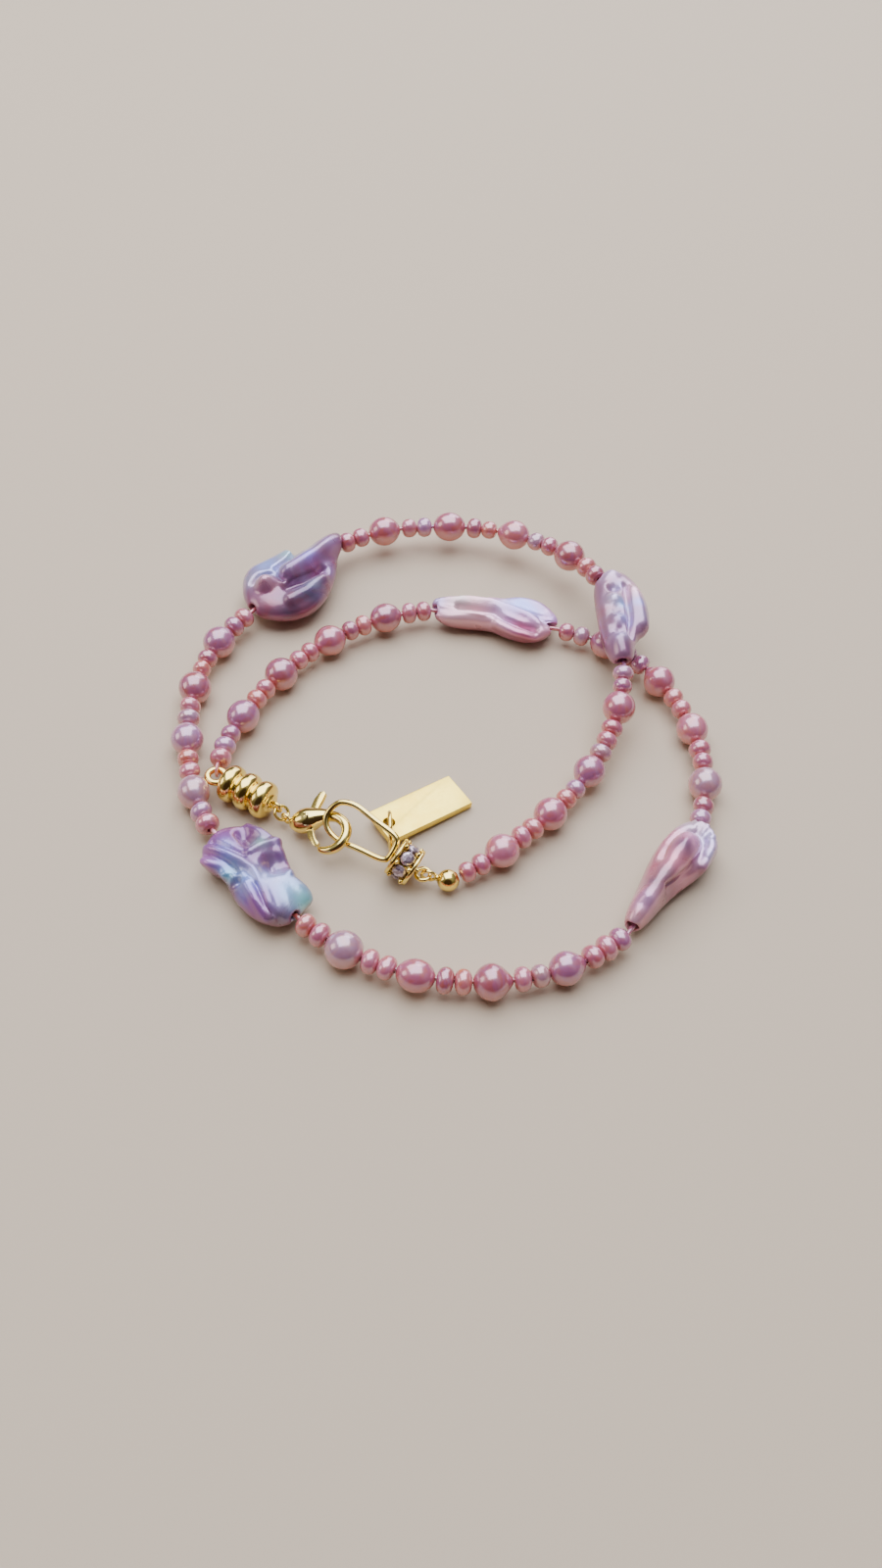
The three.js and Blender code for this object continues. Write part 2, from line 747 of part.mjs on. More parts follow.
// Tag and its ring
const tagFrame = frame(vec(TAG_PLACE.end), vec(TAG_PLACE.direction));
const tagOutline = new THREE.Shape();
tagOutline.moveTo(0, -TAG.width / 2);
tagOutline.lineTo(TAG.length, -TAG.width / 2);
tagOutline.lineTo(TAG.length, TAG.width / 2);
tagOutline.lineTo(0, TAG.width / 2);
tagOutline.closePath();
const tagHole = new THREE.Path();
tagHole.absarc(TAG.inset, 0, TAG.hole, 0, 2 * Math.PI, true);
tagOutline.holes.push(tagHole);
const tagPlate = new THREE.ExtrudeGeometry(tagOutline, {
  depth: TAG.thick,
  bevelEnabled: false,
  curveSegments: 14,
});
piece("tag", tagPlate.translate(0, 0, -TAG.thick / 2).applyMatrix4(tagFrame), gold);
piece("tag_ring", ring(TAG_RING, vec(TAG_RING_PLACE.centre), vec(TAG_RING_PLACE.normal)), gold);

export default bracelet;
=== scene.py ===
"""Dresses the pearl bracelet: nacre pearls on their thread, flat keshi pearls and gold-plated findings.

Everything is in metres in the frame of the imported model. Sizes below are in millimetres, as a jeweller
states them, and are turned to metres where a mesh is made.
"""

import logging
import math
from collections.abc import Callable, Iterator, Sequence
from contextlib import contextmanager
from dataclasses import dataclass, field
from enum import Enum

import bmesh
import bpy
import numpy as np
from bpy.types import Material, Node, NodeSocket, NodeTree, Object
from mathutils import Matrix, Vector

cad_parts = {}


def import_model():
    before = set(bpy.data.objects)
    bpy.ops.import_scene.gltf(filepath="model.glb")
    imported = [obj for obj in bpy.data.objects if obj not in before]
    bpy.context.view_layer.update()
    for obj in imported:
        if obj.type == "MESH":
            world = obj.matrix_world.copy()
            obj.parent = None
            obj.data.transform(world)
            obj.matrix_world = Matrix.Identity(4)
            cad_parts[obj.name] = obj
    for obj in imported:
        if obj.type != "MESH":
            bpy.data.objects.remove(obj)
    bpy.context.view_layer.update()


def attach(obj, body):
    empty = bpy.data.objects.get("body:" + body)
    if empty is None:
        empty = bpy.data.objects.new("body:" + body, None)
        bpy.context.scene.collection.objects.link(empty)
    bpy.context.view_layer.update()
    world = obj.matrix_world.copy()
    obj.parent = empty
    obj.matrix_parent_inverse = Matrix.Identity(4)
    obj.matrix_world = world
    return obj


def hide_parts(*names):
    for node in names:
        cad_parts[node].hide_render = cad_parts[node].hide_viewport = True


LOG = logging.getLogger("bracelet")
MM = 0.001
UP = Vector((0, 0, 1))
# The vertex colour attribute: body colours, and on keshi pearls painted reflections and shade too.
VERTEX_COLOUR = "bloom"
# A direction this close to UP takes the y axis for its upward one.
NEARLY_UPRIGHT = 0.999
# Where a ring's ends meet it is drawn in by PINCH, over SEAM_REACH times its wire's radius.
PINCH = 0.93
SEAM_REACH = 1.06
# The route below is in the maker's own measures: this moves it to the middle of the floor.
SETTLE = Vector((-0.17, -0.1, 0))
Point = tuple[float, float, float]
Row = tuple[float, float]


def start(operator: Callable[..., set], name: str, **settings: object) -> Object:
    """Adds a primitive with nothing else selected.

    Args:
        operator: The operator that adds it.
        name: The new object's name.
        **settings: The operator's own settings.

    Returns:
        The new object, which is active.
    """
    bpy.ops.object.select_all(action="DESELECT")
    operator(**settings)
    piece = bpy.context.active_object
    piece.name = name
    return piece


def take(piece: Object) -> None:
    """Makes a piece the only one selected, and active."""
    bpy.ops.object.select_all(action="DESELECT")
    piece.select_set(True)
    bpy.context.view_layer.objects.active = piece


@contextmanager
def editing(piece: Object, kind: str = "VERT") -> Iterator[None]:
    """Opens a piece in edit mode for the length of a with block.

    Args:
        piece: The mesh to edit.
        kind: What is selected: VERT, EDGE or FACE.

    Yields:
        Nothing: the mesh is open while the block runs.
    """
    take(piece)
    bpy.ops.object.mode_set(mode="EDIT")
    bpy.ops.mesh.select_mode(type=kind)
    yield
    bpy.ops.object.mode_set(mode="OBJECT")


def pick(piece: Object, test: Callable[[Vector], bool]) -> None:
    """Selects vertices of the open mesh by their place, and nothing else.

    Args:
        piece: The mesh in edit mode.
        test: Says of a place whether it is wanted.
    """
    bpy.ops.mesh.select_all(action="DESELECT")
    mesh = bmesh.from_edit_mesh(piece.data)
    for vert in mesh.verts:
        if test(vert.co):
            vert.select = True
    mesh.select_flush_mode()
    bmesh.update_edit_mesh(piece.data)


def modify(piece: Object, kind: str, **settings: object) -> None:
    """Puts one modifier on a piece and applies it."""
    modifier = piece.modifiers.new(kind.lower(), kind)
    for key, value in settings.items():
        setattr(modifier, key, value)
    take(piece)
    bpy.ops.object.modifier_apply(modifier=modifier.name)


def unite(piece: Object, *others: Object, operation: str = "UNION") -> Object:
    """Joins or cuts a piece with others, which are used up.

    Args:
        piece: The piece that stays.
        *others: Closed meshes.
        operation: UNION or DIFFERENCE.

    Returns:
        The piece.
    """
    for other in others:
        modify(piece, "BOOLEAN", operation=operation, solver="EXACT", object=other)
        bpy.data.objects.remove(other)
    return piece


def freeze(piece: Object) -> Object:
    """Puts an object's place, turn and size into its mesh."""
    take(piece)
    bpy.ops.object.transform_apply(location=True, rotation=True, scale=True)
    return piece


def lay(piece: Object, place: Matrix) -> Object:
    """Carries a mesh made about the origin in metres to its place, into its vertices."""
    piece.matrix_world = place @ piece.matrix_world
    return freeze(piece)


def facing_out(piece: Object) -> Object:
    """Merges doubles and turns every face outwards."""
    with editing(piece):
        bpy.ops.mesh.select_all(action="SELECT")
        bpy.ops.mesh.remove_doubles(threshold=1e-6)
        bpy.ops.mesh.normals_make_consistent(inside=False)
    return piece


def smooth(piece: Object, angle: float = 180) -> Object:
    """Shades a piece smooth, but for edges sharper than an angle in degrees."""
    take(piece)
    bpy.ops.object.shade_smooth_by_angle(angle=math.radians(angle))
    return piece


def break_edges(piece: Object, width: float) -> None:
    """Rounds a piece's sharp edges by a width in millimetres."""
    limit = math.radians(50)
    modify(piece, "BEVEL", width=width * MM, segments=3, limit_method="ANGLE", angle_limit=limit)


def copy_of(piece: Object, name: str) -> Object:
    """Copies an object with a mesh of its own, and without what ties it to the frame."""
    twin = bpy.data.objects.new(name, piece.data.copy())
    bpy.context.scene.collection.objects.link(twin)
    return twin


def seated(origin: Vector, along: Vector) -> Matrix:
    """The frame of a piece that is made standing on the z axis, with its x axis as near up as can be.

    Args:
        origin: Where its origin goes, in millimetres.
        along: Where its z axis points.

    Returns:
        The matrix that carries a mesh in metres there.
    """
    z = along.normalized()
    upward = UP if abs(UP.dot(z)) <= NEARLY_UPRIGHT else Vector((0, 1, 0))
    x = (upward - upward.dot(z) * z).normalized()
    turn = Matrix((x, z.cross(x), z)).transposed().to_4x4()
    return Matrix.Translation((origin + SETTLE) * MM) @ turn


def turned(name: str, rows: Sequence[Row], sides: int = 32, rounds: int = 1) -> Object:
    """Turns a body about the z axis: a disc is extruded from row to row and scaled to each radius.

    Args:
        name: The object's name.
        rows: Height and radius of each row in millimetres, from the lower end to the upper one.
        sides: Points round.
        rounds: Levels of Subdivision Surface that round it.

    Returns:
        The closed body, about the origin.
    """
    (height, radius), *others = rows
    first = {"vertices": sides, "radius": radius * MM, "location": (0, 0, height * MM)}
    body = freeze(start(bpy.ops.mesh.primitive_circle_add, name, fill_type="NGON", **first))
    with editing(body, "FACE"):
        bpy.ops.mesh.select_all(action="SELECT")
        for next_height, next_radius in others:
            lift = (0, 0, (next_height - height) * MM)
            bpy.ops.mesh.extrude_region_move(TRANSFORM_OT_translate={"value": lift})
            grow = next_radius / radius
            bpy.ops.transform.resize(value=(grow, grow, 1), center_override=(0, 0, next_height * MM))
            height, radius = next_height, next_radius
    facing_out(body)
    if rounds:
        modify(body, "SUBSURF", levels=rounds, render_levels=rounds)
    return body


def curved(points: Sequence[Vector], closed: bool, steps: int) -> list[Vector]:
    """A centripetal Catmull-Rom curve through points.

    Args:
        points: The points it goes through.
        closed: Whether the last is joined to the first.
        steps: Points between one and the next.

    Returns:
        The curve's points, with both ends where it is open.
    """
    count = len(points)
    spans = count if closed else count - 1
    line = []
    for i in range(spans):
        if closed:
            a, b, c, d = (points[(i + k) % count] for k in (-1, 0, 1, 2))
        else:
            b, c = points[i], points[i + 1]
            a = points[i - 1] if i else 2 * b - c
            d = points[i + 2] if i + 2 < count else 2 * c - b
        t0, t1, t2 = (max((q - p).length, 1e-9) ** 0.5 for p, q in ((a, b), (b, c), (c, d)))
        near = ((b - a) / t0 - (c - a) / (t0 + t1) + (c - b) / t1) * t1
        far = ((c - b) / t1 - (d - b) / (t1 + t2) + (d - c) / t2) * t1
        for k in range(steps):
            t = k / steps
            line.append(
                b + near * t + (3 * (c - b) - 2 * near - far) * t**2 + (2 * (b - c) + near + far) * t**3
            )
    if not closed:
        line.append(points[-1].copy())
    return line


def wire(
    name: str, points: Sequence[Vector], radii: Sequence[float], closed: bool = False, resolution: int = 5
) -> Object:
    """Draws a round wire or bar as a bevelled path and makes it a mesh.

    Args:
        name: The object's name.
        points: The points of its centreline in millimetres, close together.
        radii: The radius at each point in millimetres.
        closed: Whether it ends where it starts.
        resolution: Steps of a quarter of its section.

    Returns:
        The wire, with its place in its mesh.
    """
    piece = start(bpy.ops.curve.primitive_nurbs_path_add, name)
    path = piece.data
    path.splines.clear()
    line = path.splines.new("POLY")
    line.points.add(len(points) - 1)
    for knot, point, radius in zip(line.points, points, radii, strict=True):
        knot.co = (*(point * MM), 1)
        knot.radius = radius
    line.use_cyclic_u = closed
    path.dimensions = "3D"
    path.bevel_depth = MM
    path.bevel_resolution = resolution
    path.use_fill_caps = not closed
    take(piece)
    bpy.ops.object.convert(target="MESH")
    return facing_out(bpy.context.active_object)


def ring(name: str, size: Row, centre: Vector, normal: Vector, seam: float = 0.0) -> Object:
    """A wire ring, pinched a little where its ends meet.

    Args:
        name: The object's name.
        size: Radius of the ring and of its wire, in millimetres.
        centre: Its centre in millimetres.
        normal: The normal of its plane.
        seam: Where the ends meet, in degrees round the ring.

    Returns:
        The ring, with its place in its mesh.
    """
    radius, thick = size
    sizes = {"major_radius": radius * MM, "minor_radius": thick * MM}
    piece = start(bpy.ops.mesh.primitive_torus_add, name, major_segments=56, minor_segments=20, **sizes)
    place = Vector((math.cos(math.radians(seam)), math.sin(math.radians(seam)), 0)) * radius * MM
    with editing(piece):
        pick(piece, lambda co: (co - place).length < SEAM_REACH * thick * MM)
        bpy.ops.transform.resize(value=(PINCH, PINCH, PINCH), center_override=place)
    return lay(piece, seated(centre, normal))


def linear(colour: str) -> tuple[float, float, float, float]:
    """Turns an sRGB hex colour such as "c9a050" into Blender's linear RGBA."""
    parts = [int(colour[i : i + 2], 16) / 255 for i in (0, 2, 4)]
    return (*(c / 12.92 if c <= 0.04045 else ((c + 0.055) / 1.055) ** 2.4 for c in parts), 1.0)


def add(
    tree: NodeTree, kind: str, inputs: dict[str | int, object] | None = None, **settings: object
) -> Node:
    """Adds a node with its settings and links.

    Args:
        tree: The node tree of a material or of the world.
        kind: The node's type, without the word ShaderNode before it.
        inputs: For each socket, the output that it is linked to or its value.
        **settings: The node's own settings; ramp is a list of (position, hex colour).

    Returns:
        The node.
    """
    node = tree.nodes.new(f"ShaderNode{kind}")
    for key, value in settings.items():
        if key == "ramp":
            stops = node.color_ramp.elements
            while len(stops) < len(value):
                stops.new(0.5)
            for stop, (position, colour) in zip(stops, value, strict=True):
                stop.position = position
                stop.color = linear(colour)
        else:
            setattr(node, key, value)
    for socket, value in (inputs or {}).items():
        if isinstance(value, NodeSocket):
            tree.links.new(value, node.inputs[socket])
        else:
            node.inputs[socket].default_value = value
    return node


@dataclass(frozen=True)
class Finish:
    """A finish: its name, and a shader whose sockets each kind of finish fills in its own way."""

    name: str

    def sockets(self, tree: NodeTree, place: NodeSocket) -> dict[str, object]:
        """Builds the nodes before the shader.

        Args:
            tree: The material's node tree.
            place: The Object coordinates.

        Returns:
            For each socket of the shader, the output that it is linked to or its value.
        """
        raise NotImplementedError

    def material(self) -> Material:
        """Builds the material.

        Returns:
            The finished material.
        """
        material = bpy.data.materials.new(self.name)
        material.use_nodes = True
        tree = material.node_tree
        tree.nodes.remove(tree.nodes["Principled BSDF"])
        place = add(tree, "TexCoord").outputs["Object"]
        shader = add(tree, "BsdfPrincipled", self.sockets(tree, place))
        tree.links.new(shader.outputs[0], tree.nodes["Material Output"].inputs["Surface"])
        return material


def per_mm(size: float) -> float:
    """The scale of a noise on Object coordinates whose features are about a size in millimetres."""
    return 1 / (size * MM)


def mixed(first: np.ndarray, second: np.ndarray, share: np.ndarray | float) -> np.ndarray:
    """Blends two sets of linear colours by a share of the second."""
    return first + (second - first) * np.asarray(share)[..., None]


def paint(piece: Object, colours: np.ndarray) -> None:
    """Keeps a linear colour for each vertex in the piece's own attribute, which its nacre reads.

    Args:
        piece: The finished mesh.
        colours: A row of red, green and blue for each vertex, or one row for all.
    """
    count = len(piece.data.vertices)
    rows = np.ones((count, 4))
    rows[:, :3] = colours
    layer = piece.data.attributes.new(VERTEX_COLOUR, "FLOAT_COLOR", "POINT")
    layer.data.foreach_set("color", rows.ravel())


@dataclass(frozen=True)
class Nacre(Finish):
    """Nacre: thin layers of aragonite, grown and only tumbled.

    It has a deep satin lustre that mirrors the room softly, a body colour of its own on each pearl, lilac
    and peach overtones, and underside lighting: a colour painted on faces that point down, a painted warm
    bounce of light from the floor on the beads and a painted shade on the keshi pearls.
    """

    overtones: tuple[tuple[float, str], ...]
    swirl_mm: float = 2.4
    overtone_share: float = 0.3
    # Painted bounce light from the floor: a warm peach on the beads' downward faces.
    underside_lighting: str = "e4806a"
    underside_lighting_share: float = 0.8
    underside_lighting_span: Row = (0.45, -0.35)
    lustre: float = 0.18
    roughness: float = 0.22
    growth_mm: float = 0.6
    growth_depth: float = 0.1
    gloss: float = 1.0
    index: float = 1.66
    lacquer: float = 1.0
    lacquer_index: float = 1.6

    def sockets(self, tree: NodeTree, place: NodeSocket) -> dict[str, object]:
        """Tints the body colour, paints the underside lighting on what faces down and roughens the lustre
        unevenly.

        Args:
            tree: The material's node tree.
            place: The Object coordinates.

        Returns:
            What goes into the shader.
        """
        body = add(tree, "Attribute", attribute_name=VERTEX_COLOUR).outputs["Color"]
        swirl = add(
            tree,
            "TexNoise",
            {"Vector": place, "Scale": per_mm(self.swirl_mm), "Detail": 2.0, "Distortion": 1.2},
        ).outputs["Fac"]
        tones = add(tree, "ValToRGB", {"Fac": swirl}, ramp=self.overtones).outputs["Color"]
        tinted = add(tree, "Mix", {0: self.overtone_share, 6: body, 7: tones}, data_type="RGBA").outputs[2]
        # Painted light and shade: the more a face points down, the more it takes the underside colour.
        facing = add(tree, "NewGeometry").outputs["Normal"]
        height = add(tree, "SeparateXYZ", {0: facing}).outputs["Z"]
        from_min, from_max = self.underside_lighting_span
        span = {"From Min": from_min, "From Max": from_max, "To Min": 0.0, "To Max": self.underside_lighting_share}
        underside_lighting_mask = add(tree, "MapRange", {"Value": height, **span}).outputs["Result"]
        with_underside_lighting = add(tree, "Mix", {0: underside_lighting_mask, 6: tinted, 7: linear(self.underside_lighting)}, data_type="RGBA")
        growth = add(
            tree,
            "TexNoise",
            {"Vector": place, "Scale": per_mm(self.growth_mm), "Detail": 3.0, "Distortion": 0.6},
        ).outputs["Fac"]
        bump = add(tree, "Bump", {"Height": growth, "Strength": self.growth_depth, "Distance": 0.1 * MM})
        polish = add(
            tree,
            "MapRange",
            {"Value": swirl, "To Min": 0.8 * self.roughness, "To Max": 1.25 * self.roughness},
        )
        return {
            "Base Color": with_underside_lighting.outputs[2],
            "Metallic": self.lustre,
            "Roughness": polish.outputs["Result"],
            "IOR": self.index,
            "Specular IOR Level": self.gloss,
            "Normal": bump.outputs["Normal"],
            "Coat Weight": self.lacquer,
            "Coat Roughness": 0.1,
            "Coat IOR": self.lacquer_index,
        }


@dataclass(frozen=True)
class GoldPlate(Finish):
    """Gold-plated brass, tumbled bright. It mirrors the room sharply, pale where it meets light."""

    name: str = "polished_gold_plate"
    pale: str = "f8e48a"
    deep: str = "eed064"
    # Painted shade: the deep brown that creases are darkened towards.
    crease_shade: str = "94702a"
    roughness: float = 0.12
    tarnish_mm: float = 3.0
    wear_mm: float = 0.35

    def sockets(self, tree: NodeTree, place: NodeSocket) -> dict[str, object]:
        """Clouds the gold, paints shade into its creases and wears its polish.

        Args:
            tree: The material's node tree.
            place: The Object coordinates.

        Returns:
            What goes into the shader.
        """
        cloud = add(tree, "TexNoise", {"Vector": place, "Scale": per_mm(self.tarnish_mm), "Detail": 3.0})
        stops = ((0.3, self.deep), (0.62, self.pale))
        tone = add(tree, "ValToRGB", {"Fac": cloud.outputs["Fac"]}, ramp=stops).outputs["Color"]
        # Painted shade: concave places, by Pointiness, are darkened towards the deep brown.
        corners = add(tree, "NewGeometry").outputs["Pointiness"]
        span = {"From Min": 0.47, "From Max": 0.38, "To Min": 0.0, "To Max": 0.6}
        crease_shade_mask = add(tree, "MapRange", {"Value": corners, **span}).outputs["Result"]
        crease_shaded = add(tree, "Mix", {0: crease_shade_mask, 6: tone, 7: linear(self.crease_shade)}, data_type="RGBA")
        wear = add(
            tree,
            "TexNoise",
            {"Vector": place, "Scale": per_mm(self.wear_mm), "Detail": 4.0, "Roughness": 0.6},
        ).outputs["Fac"]
        rough = add(
            tree,
            "MapRange",
            {"Value": wear, "To Min": 0.6 * self.roughness, "To Max": 1.6 * self.roughness},
        )
        bump = add(tree, "Bump", {"Height": wear, "Strength": 0.04, "Distance": 0.05 * MM})
        return {
            "Base Color": crease_shaded.outputs[2],
            "Metallic": 1.0,
            "Roughness": rough.outputs["Result"],
            "Normal": bump.outputs["Normal"],
        }


@dataclass(frozen=True)
class CutStone(Finish):
    """Cubic zirconia in a pale lilac-grey, cut and polished, each facet a mirror of its own."""

    name: str = "cubic_zirconia_lilac"
    light: str = "e2d0dc"
    dark: str = "84707e"
    glint_mm: float = 0.55

    def sockets(self, tree: NodeTree, place: NodeSocket) -> dict[str, object]:
        """Breaks the stone's colour into glints.

        Args:
            tree: The material's node tree.
            place: The Object coordinates.

        Returns:
            What goes into the shader.
        """
        glints = add(tree, "TexVoronoi", {"Vector": place, "Scale": per_mm(self.glint_mm)}, feature="F1")
        grey = add(tree, "SeparateColor", {0: glints.outputs["Color"]}).outputs[0]
        tone = add(tree, "ValToRGB", {"Fac": grey}, ramp=((0.25, self.dark), (0.8, self.light)))
        return {
            "Base Color": tone.outputs["Color"],
            "Metallic": 0.35,
            "Roughness": 0.04,
            "IOR": 2.15,
            "Transmission Weight": 0.35,
        }


@dataclass(frozen=True)
class PlainFloor(Finish):
    """A plain matt laminate in a pale warm grey."""

    name: str = "pale_floor"
    colour: str = "b9ab94"

    def sockets(self, tree: NodeTree, place: NodeSocket) -> dict[str, object]:
        """Gives one colour a faint mottle.

        Args:
            tree: The material's node tree.
            place: The Object coordinates.

        Returns:
            What goes into the shader.
        """
        mottle = add(tree, "TexNoise", {"Vector": place, "Scale": per_mm(1.0), "Detail": 5.0})
        relief = {"Height": mottle.outputs["Fac"], "Strength": 0.1, "Distance": 0.1 * MM}
        bump = add(tree, "Bump", relief)
        return {"Base Color": linear(self.colour), "Roughness": 0.85, "Normal": bump.outputs["Normal"]}


BEAD_NACRE = Nacre(
    "nacre_freshwater_bead",
    overtones=((0.34, "c9786c"), (0.5, "b080b4"), (0.64, "c97880")),
)
KESHI_GLOSS = Nacre(
    "nacre_keshi",
    overtones=((0.32, "c07080"), (0.46, "8c78d8"), (0.56, "74a8dc"), (0.68, "c070a0")),
    swirl_mm=4.5,
    overtone_share=0.1,
    # Painted shade: a dark crimson on the keshi pearls' downward faces.
    underside_lighting="a0485a",
    underside_lighting_share=0.7,
    lustre=0.38,
    roughness=0.28,
    growth_mm=0.7,
    growth_depth=0.3,
    gloss=0.5,
    lacquer=0.45,
)


class Body(Enum):
    """The body colours of the round pearls."""

    ROSE = "b2505e"
    DUSK = "9c4250"
    MAUVE = "9c5478"
    PEACH = "c8644e"
    PINK = "c26672"
    SILVER = "a87e8c"
    LILAC = "a8769c"


@dataclass(frozen=True)
class Stretch:
    """One stretch of the string between keshi pearls: its route, and the spacers before and after drops."""

    spacers: tuple[int, ...]
    route: tuple[Point, ...]


STRETCHES = (
    Stretch(
        (3, 2, 2, 2, 2),
        (
            (-26.9, -8.75, 2.3), (-26.3, -4.2, 2.2), (-24.6, 0.6, 2.2), (-22, 5.9, 2.2),
            (-18.2, 11.1, 2.2), (-13.2, 15.6, 2.3), (-8.2, 18.6, 2.4), (-3, 20.3, 2.4),
        ),
    ),
    Stretch(
        (2, 2, 2, 2, 2),
        (
            (14.2, 18.5, 2.2), (19.7, 16.8, 2.2), (24.1, 13.9, 2.2), (27.5, 10, 2.2), (30.1, 5.2, 2.2),
            (31.6, 0.2, 2.2), (32.1, -5, 2.2), (31.7, -9.4, 2.2), (30.8, -12.8, 2.3),
        ),
    ),
    Stretch(
        (3, 2, 2, 2, 2),
        (
            (21.8, -28.7, 2.3), (16.9, -32.5, 2.2), (12.2, -34.7, 2.2), (7, -35.9, 2.2),
            (1.5, -36.1, 2.2), (-3.9, -35.2, 2.2), (-9.2, -33.2, 2.2), (-14.6, -30, 2.3),
        ),
    ),
    Stretch(
        (2, 2, 2, 2, 2),
        (
            (-26.2, -18.6, 2.3), (-28.7, -14.2, 2.2), (-30.4, -9.2, 2.2), (-31.5, -4, 2.2),
            (-31.9, 1.5, 2.2), (-31.5, 7, 2.2), (-29.9, 12.2, 2.3), (-27, 17.1, 2.6),
        ),
    ),
    Stretch(
        (2, 2, 2, 2, 2),
        (
            (-16.4, 31.1, 3.2), (-11.2, 34.1, 3.4), (-5.2, 35.7, 3.5), (0.9, 36.1, 3.7), (6.8, 35, 4.1),
            (12.2, 32.4, 4.7), (16.5, 28.7, 5.5), (19.2, 24.4, 6.3),
        ),
    ),
    Stretch(
        (2, 3, 2, 2, 2),
        (
            (22, 8.9, 5.9), (21.7, 4.4, 4.9), (20.5, -0.2, 3.8), (18.7, -4.4, 2.9), (16.2, -8.6, 2.3),
            (13, -12.8, 2.2), (9.4, -16.7, 2.2), (5.6, -20.2, 2.1), (2.9, -22.1, 1.8),
        ),
    ),
)


@dataclass
class Bead:
    """One bead on the string: what it is, where its middle is along the string, and its length in mm."""

    is_drop: bool
    centre: float
    length: float


@dataclass
class Thread:
    """The line that the string follows, as close points with their distance along it, in millimetres."""

    line: list[Vector] = field(default_factory=list)
    reach: list[float] = field(default_factory=list)
    starts: list[float] = field(default_factory=list)
    ends: list[float] = field(default_factory=list)
    steps: int = 60
    stride: int = 3
    probe: float = 0.2

    def __post_init__(self) -> None:
        """Strings the stretches together, straight through each keshi pearl."""
        total = 0.0
        for stretch in STRETCHES:
            run = curved([Vector(p) for p in stretch.route], False, self.steps)
            for i, point in enumerate(run):
                if self.line:
                    total += (point - self.line[-1]).length
                if i == 0:
                    self.starts.append(total)
                self.line.append(point)
                self.reach.append(total)
            self.ends.append(total)

    def at(self, distance: float) -> Vector:
        """The point at a distance along the string, in millimetres."""
        table = np.array([[*p] for p in self.line])
        return Vector([float(np.interp(distance, self.reach, table[:, k])) for k in range(3)])

    def heading(self, distance: float) -> Vector:
        """The direction of the string at a distance along it."""
        return (self.at(distance + self.probe) - self.at(distance - self.probe)).normalized()

    def between(self, first: float, last: float) -> list[Vector]:
        """The string's points from one distance to another, both ends included."""
        inner = [p for p, d in zip(self.line, self.reach, strict=True) if first < d < last]
        return [self.at(first), *inner[:: self.stride], self.at(last)]


@dataclass(frozen=True)
class Drop:
    """One drop pearl as it looks: width and length against the usual ones, tip from -1 to 1, and colour."""

    width: float
    length: float
    tip: float
    body: Body


DROPS = (
    Drop(0.98, 0.98, 0.0, Body.MAUVE), Drop(1.02, 1.0, 0.15, Body.DUSK),
    Drop(0.97, 1.0, -0.2, Body.ROSE), Drop(0.95, 0.97, 0.1, Body.DUSK),
    Drop(0.93, 0.97, 0.1, Body.MAUVE), Drop(1.0, 1.08, -0.75, Body.ROSE),
    Drop(0.95, 0.97, 0.0, Body.PINK), Drop(1.0, 0.98, 0.1, Body.SILVER),
    Drop(0.95, 1.07, -0.45, Body.MAUVE), Drop(1.0, 1.05, -0.5, Body.DUSK),
    Drop(0.92, 1.07, 0.05, Body.ROSE), Drop(1.04, 1.0, 0.0, Body.SILVER),
    Drop(0.95, 0.97, 0.0, Body.SILVER), Drop(0.97, 0.98, 0.2, Body.LILAC),
    Drop(1.0, 1.0, -0.1, Body.DUSK), Drop(1.0, 1.0, 0.1, Body.MAUVE), Drop(1.0, 1.0, 0.1, Body.ROSE),
    Drop(0.97, 1.02, 0.0, Body.ROSE), Drop(0.98, 1.04, -0.3, Body.PINK), Drop(1.0, 1.0, 0.1, Body.DUSK),
    Drop(1.0, 1.0, 0.0, Body.ROSE), Drop(0.96, 1.0, 0.25, Body.MAUVE), Drop(0.98, 1.03, 0.1, Body.ROSE),
    Drop(0.98, 1.02, 0.1, Body.PINK),
)
BUTTON_ORDER = "PINK ROSE PEACH LILAC ROSE PINK MAUVE PEACH SILVER PINK DUSK"
BUTTON_BODIES = [Body[name] for name in BUTTON_ORDER.split()]


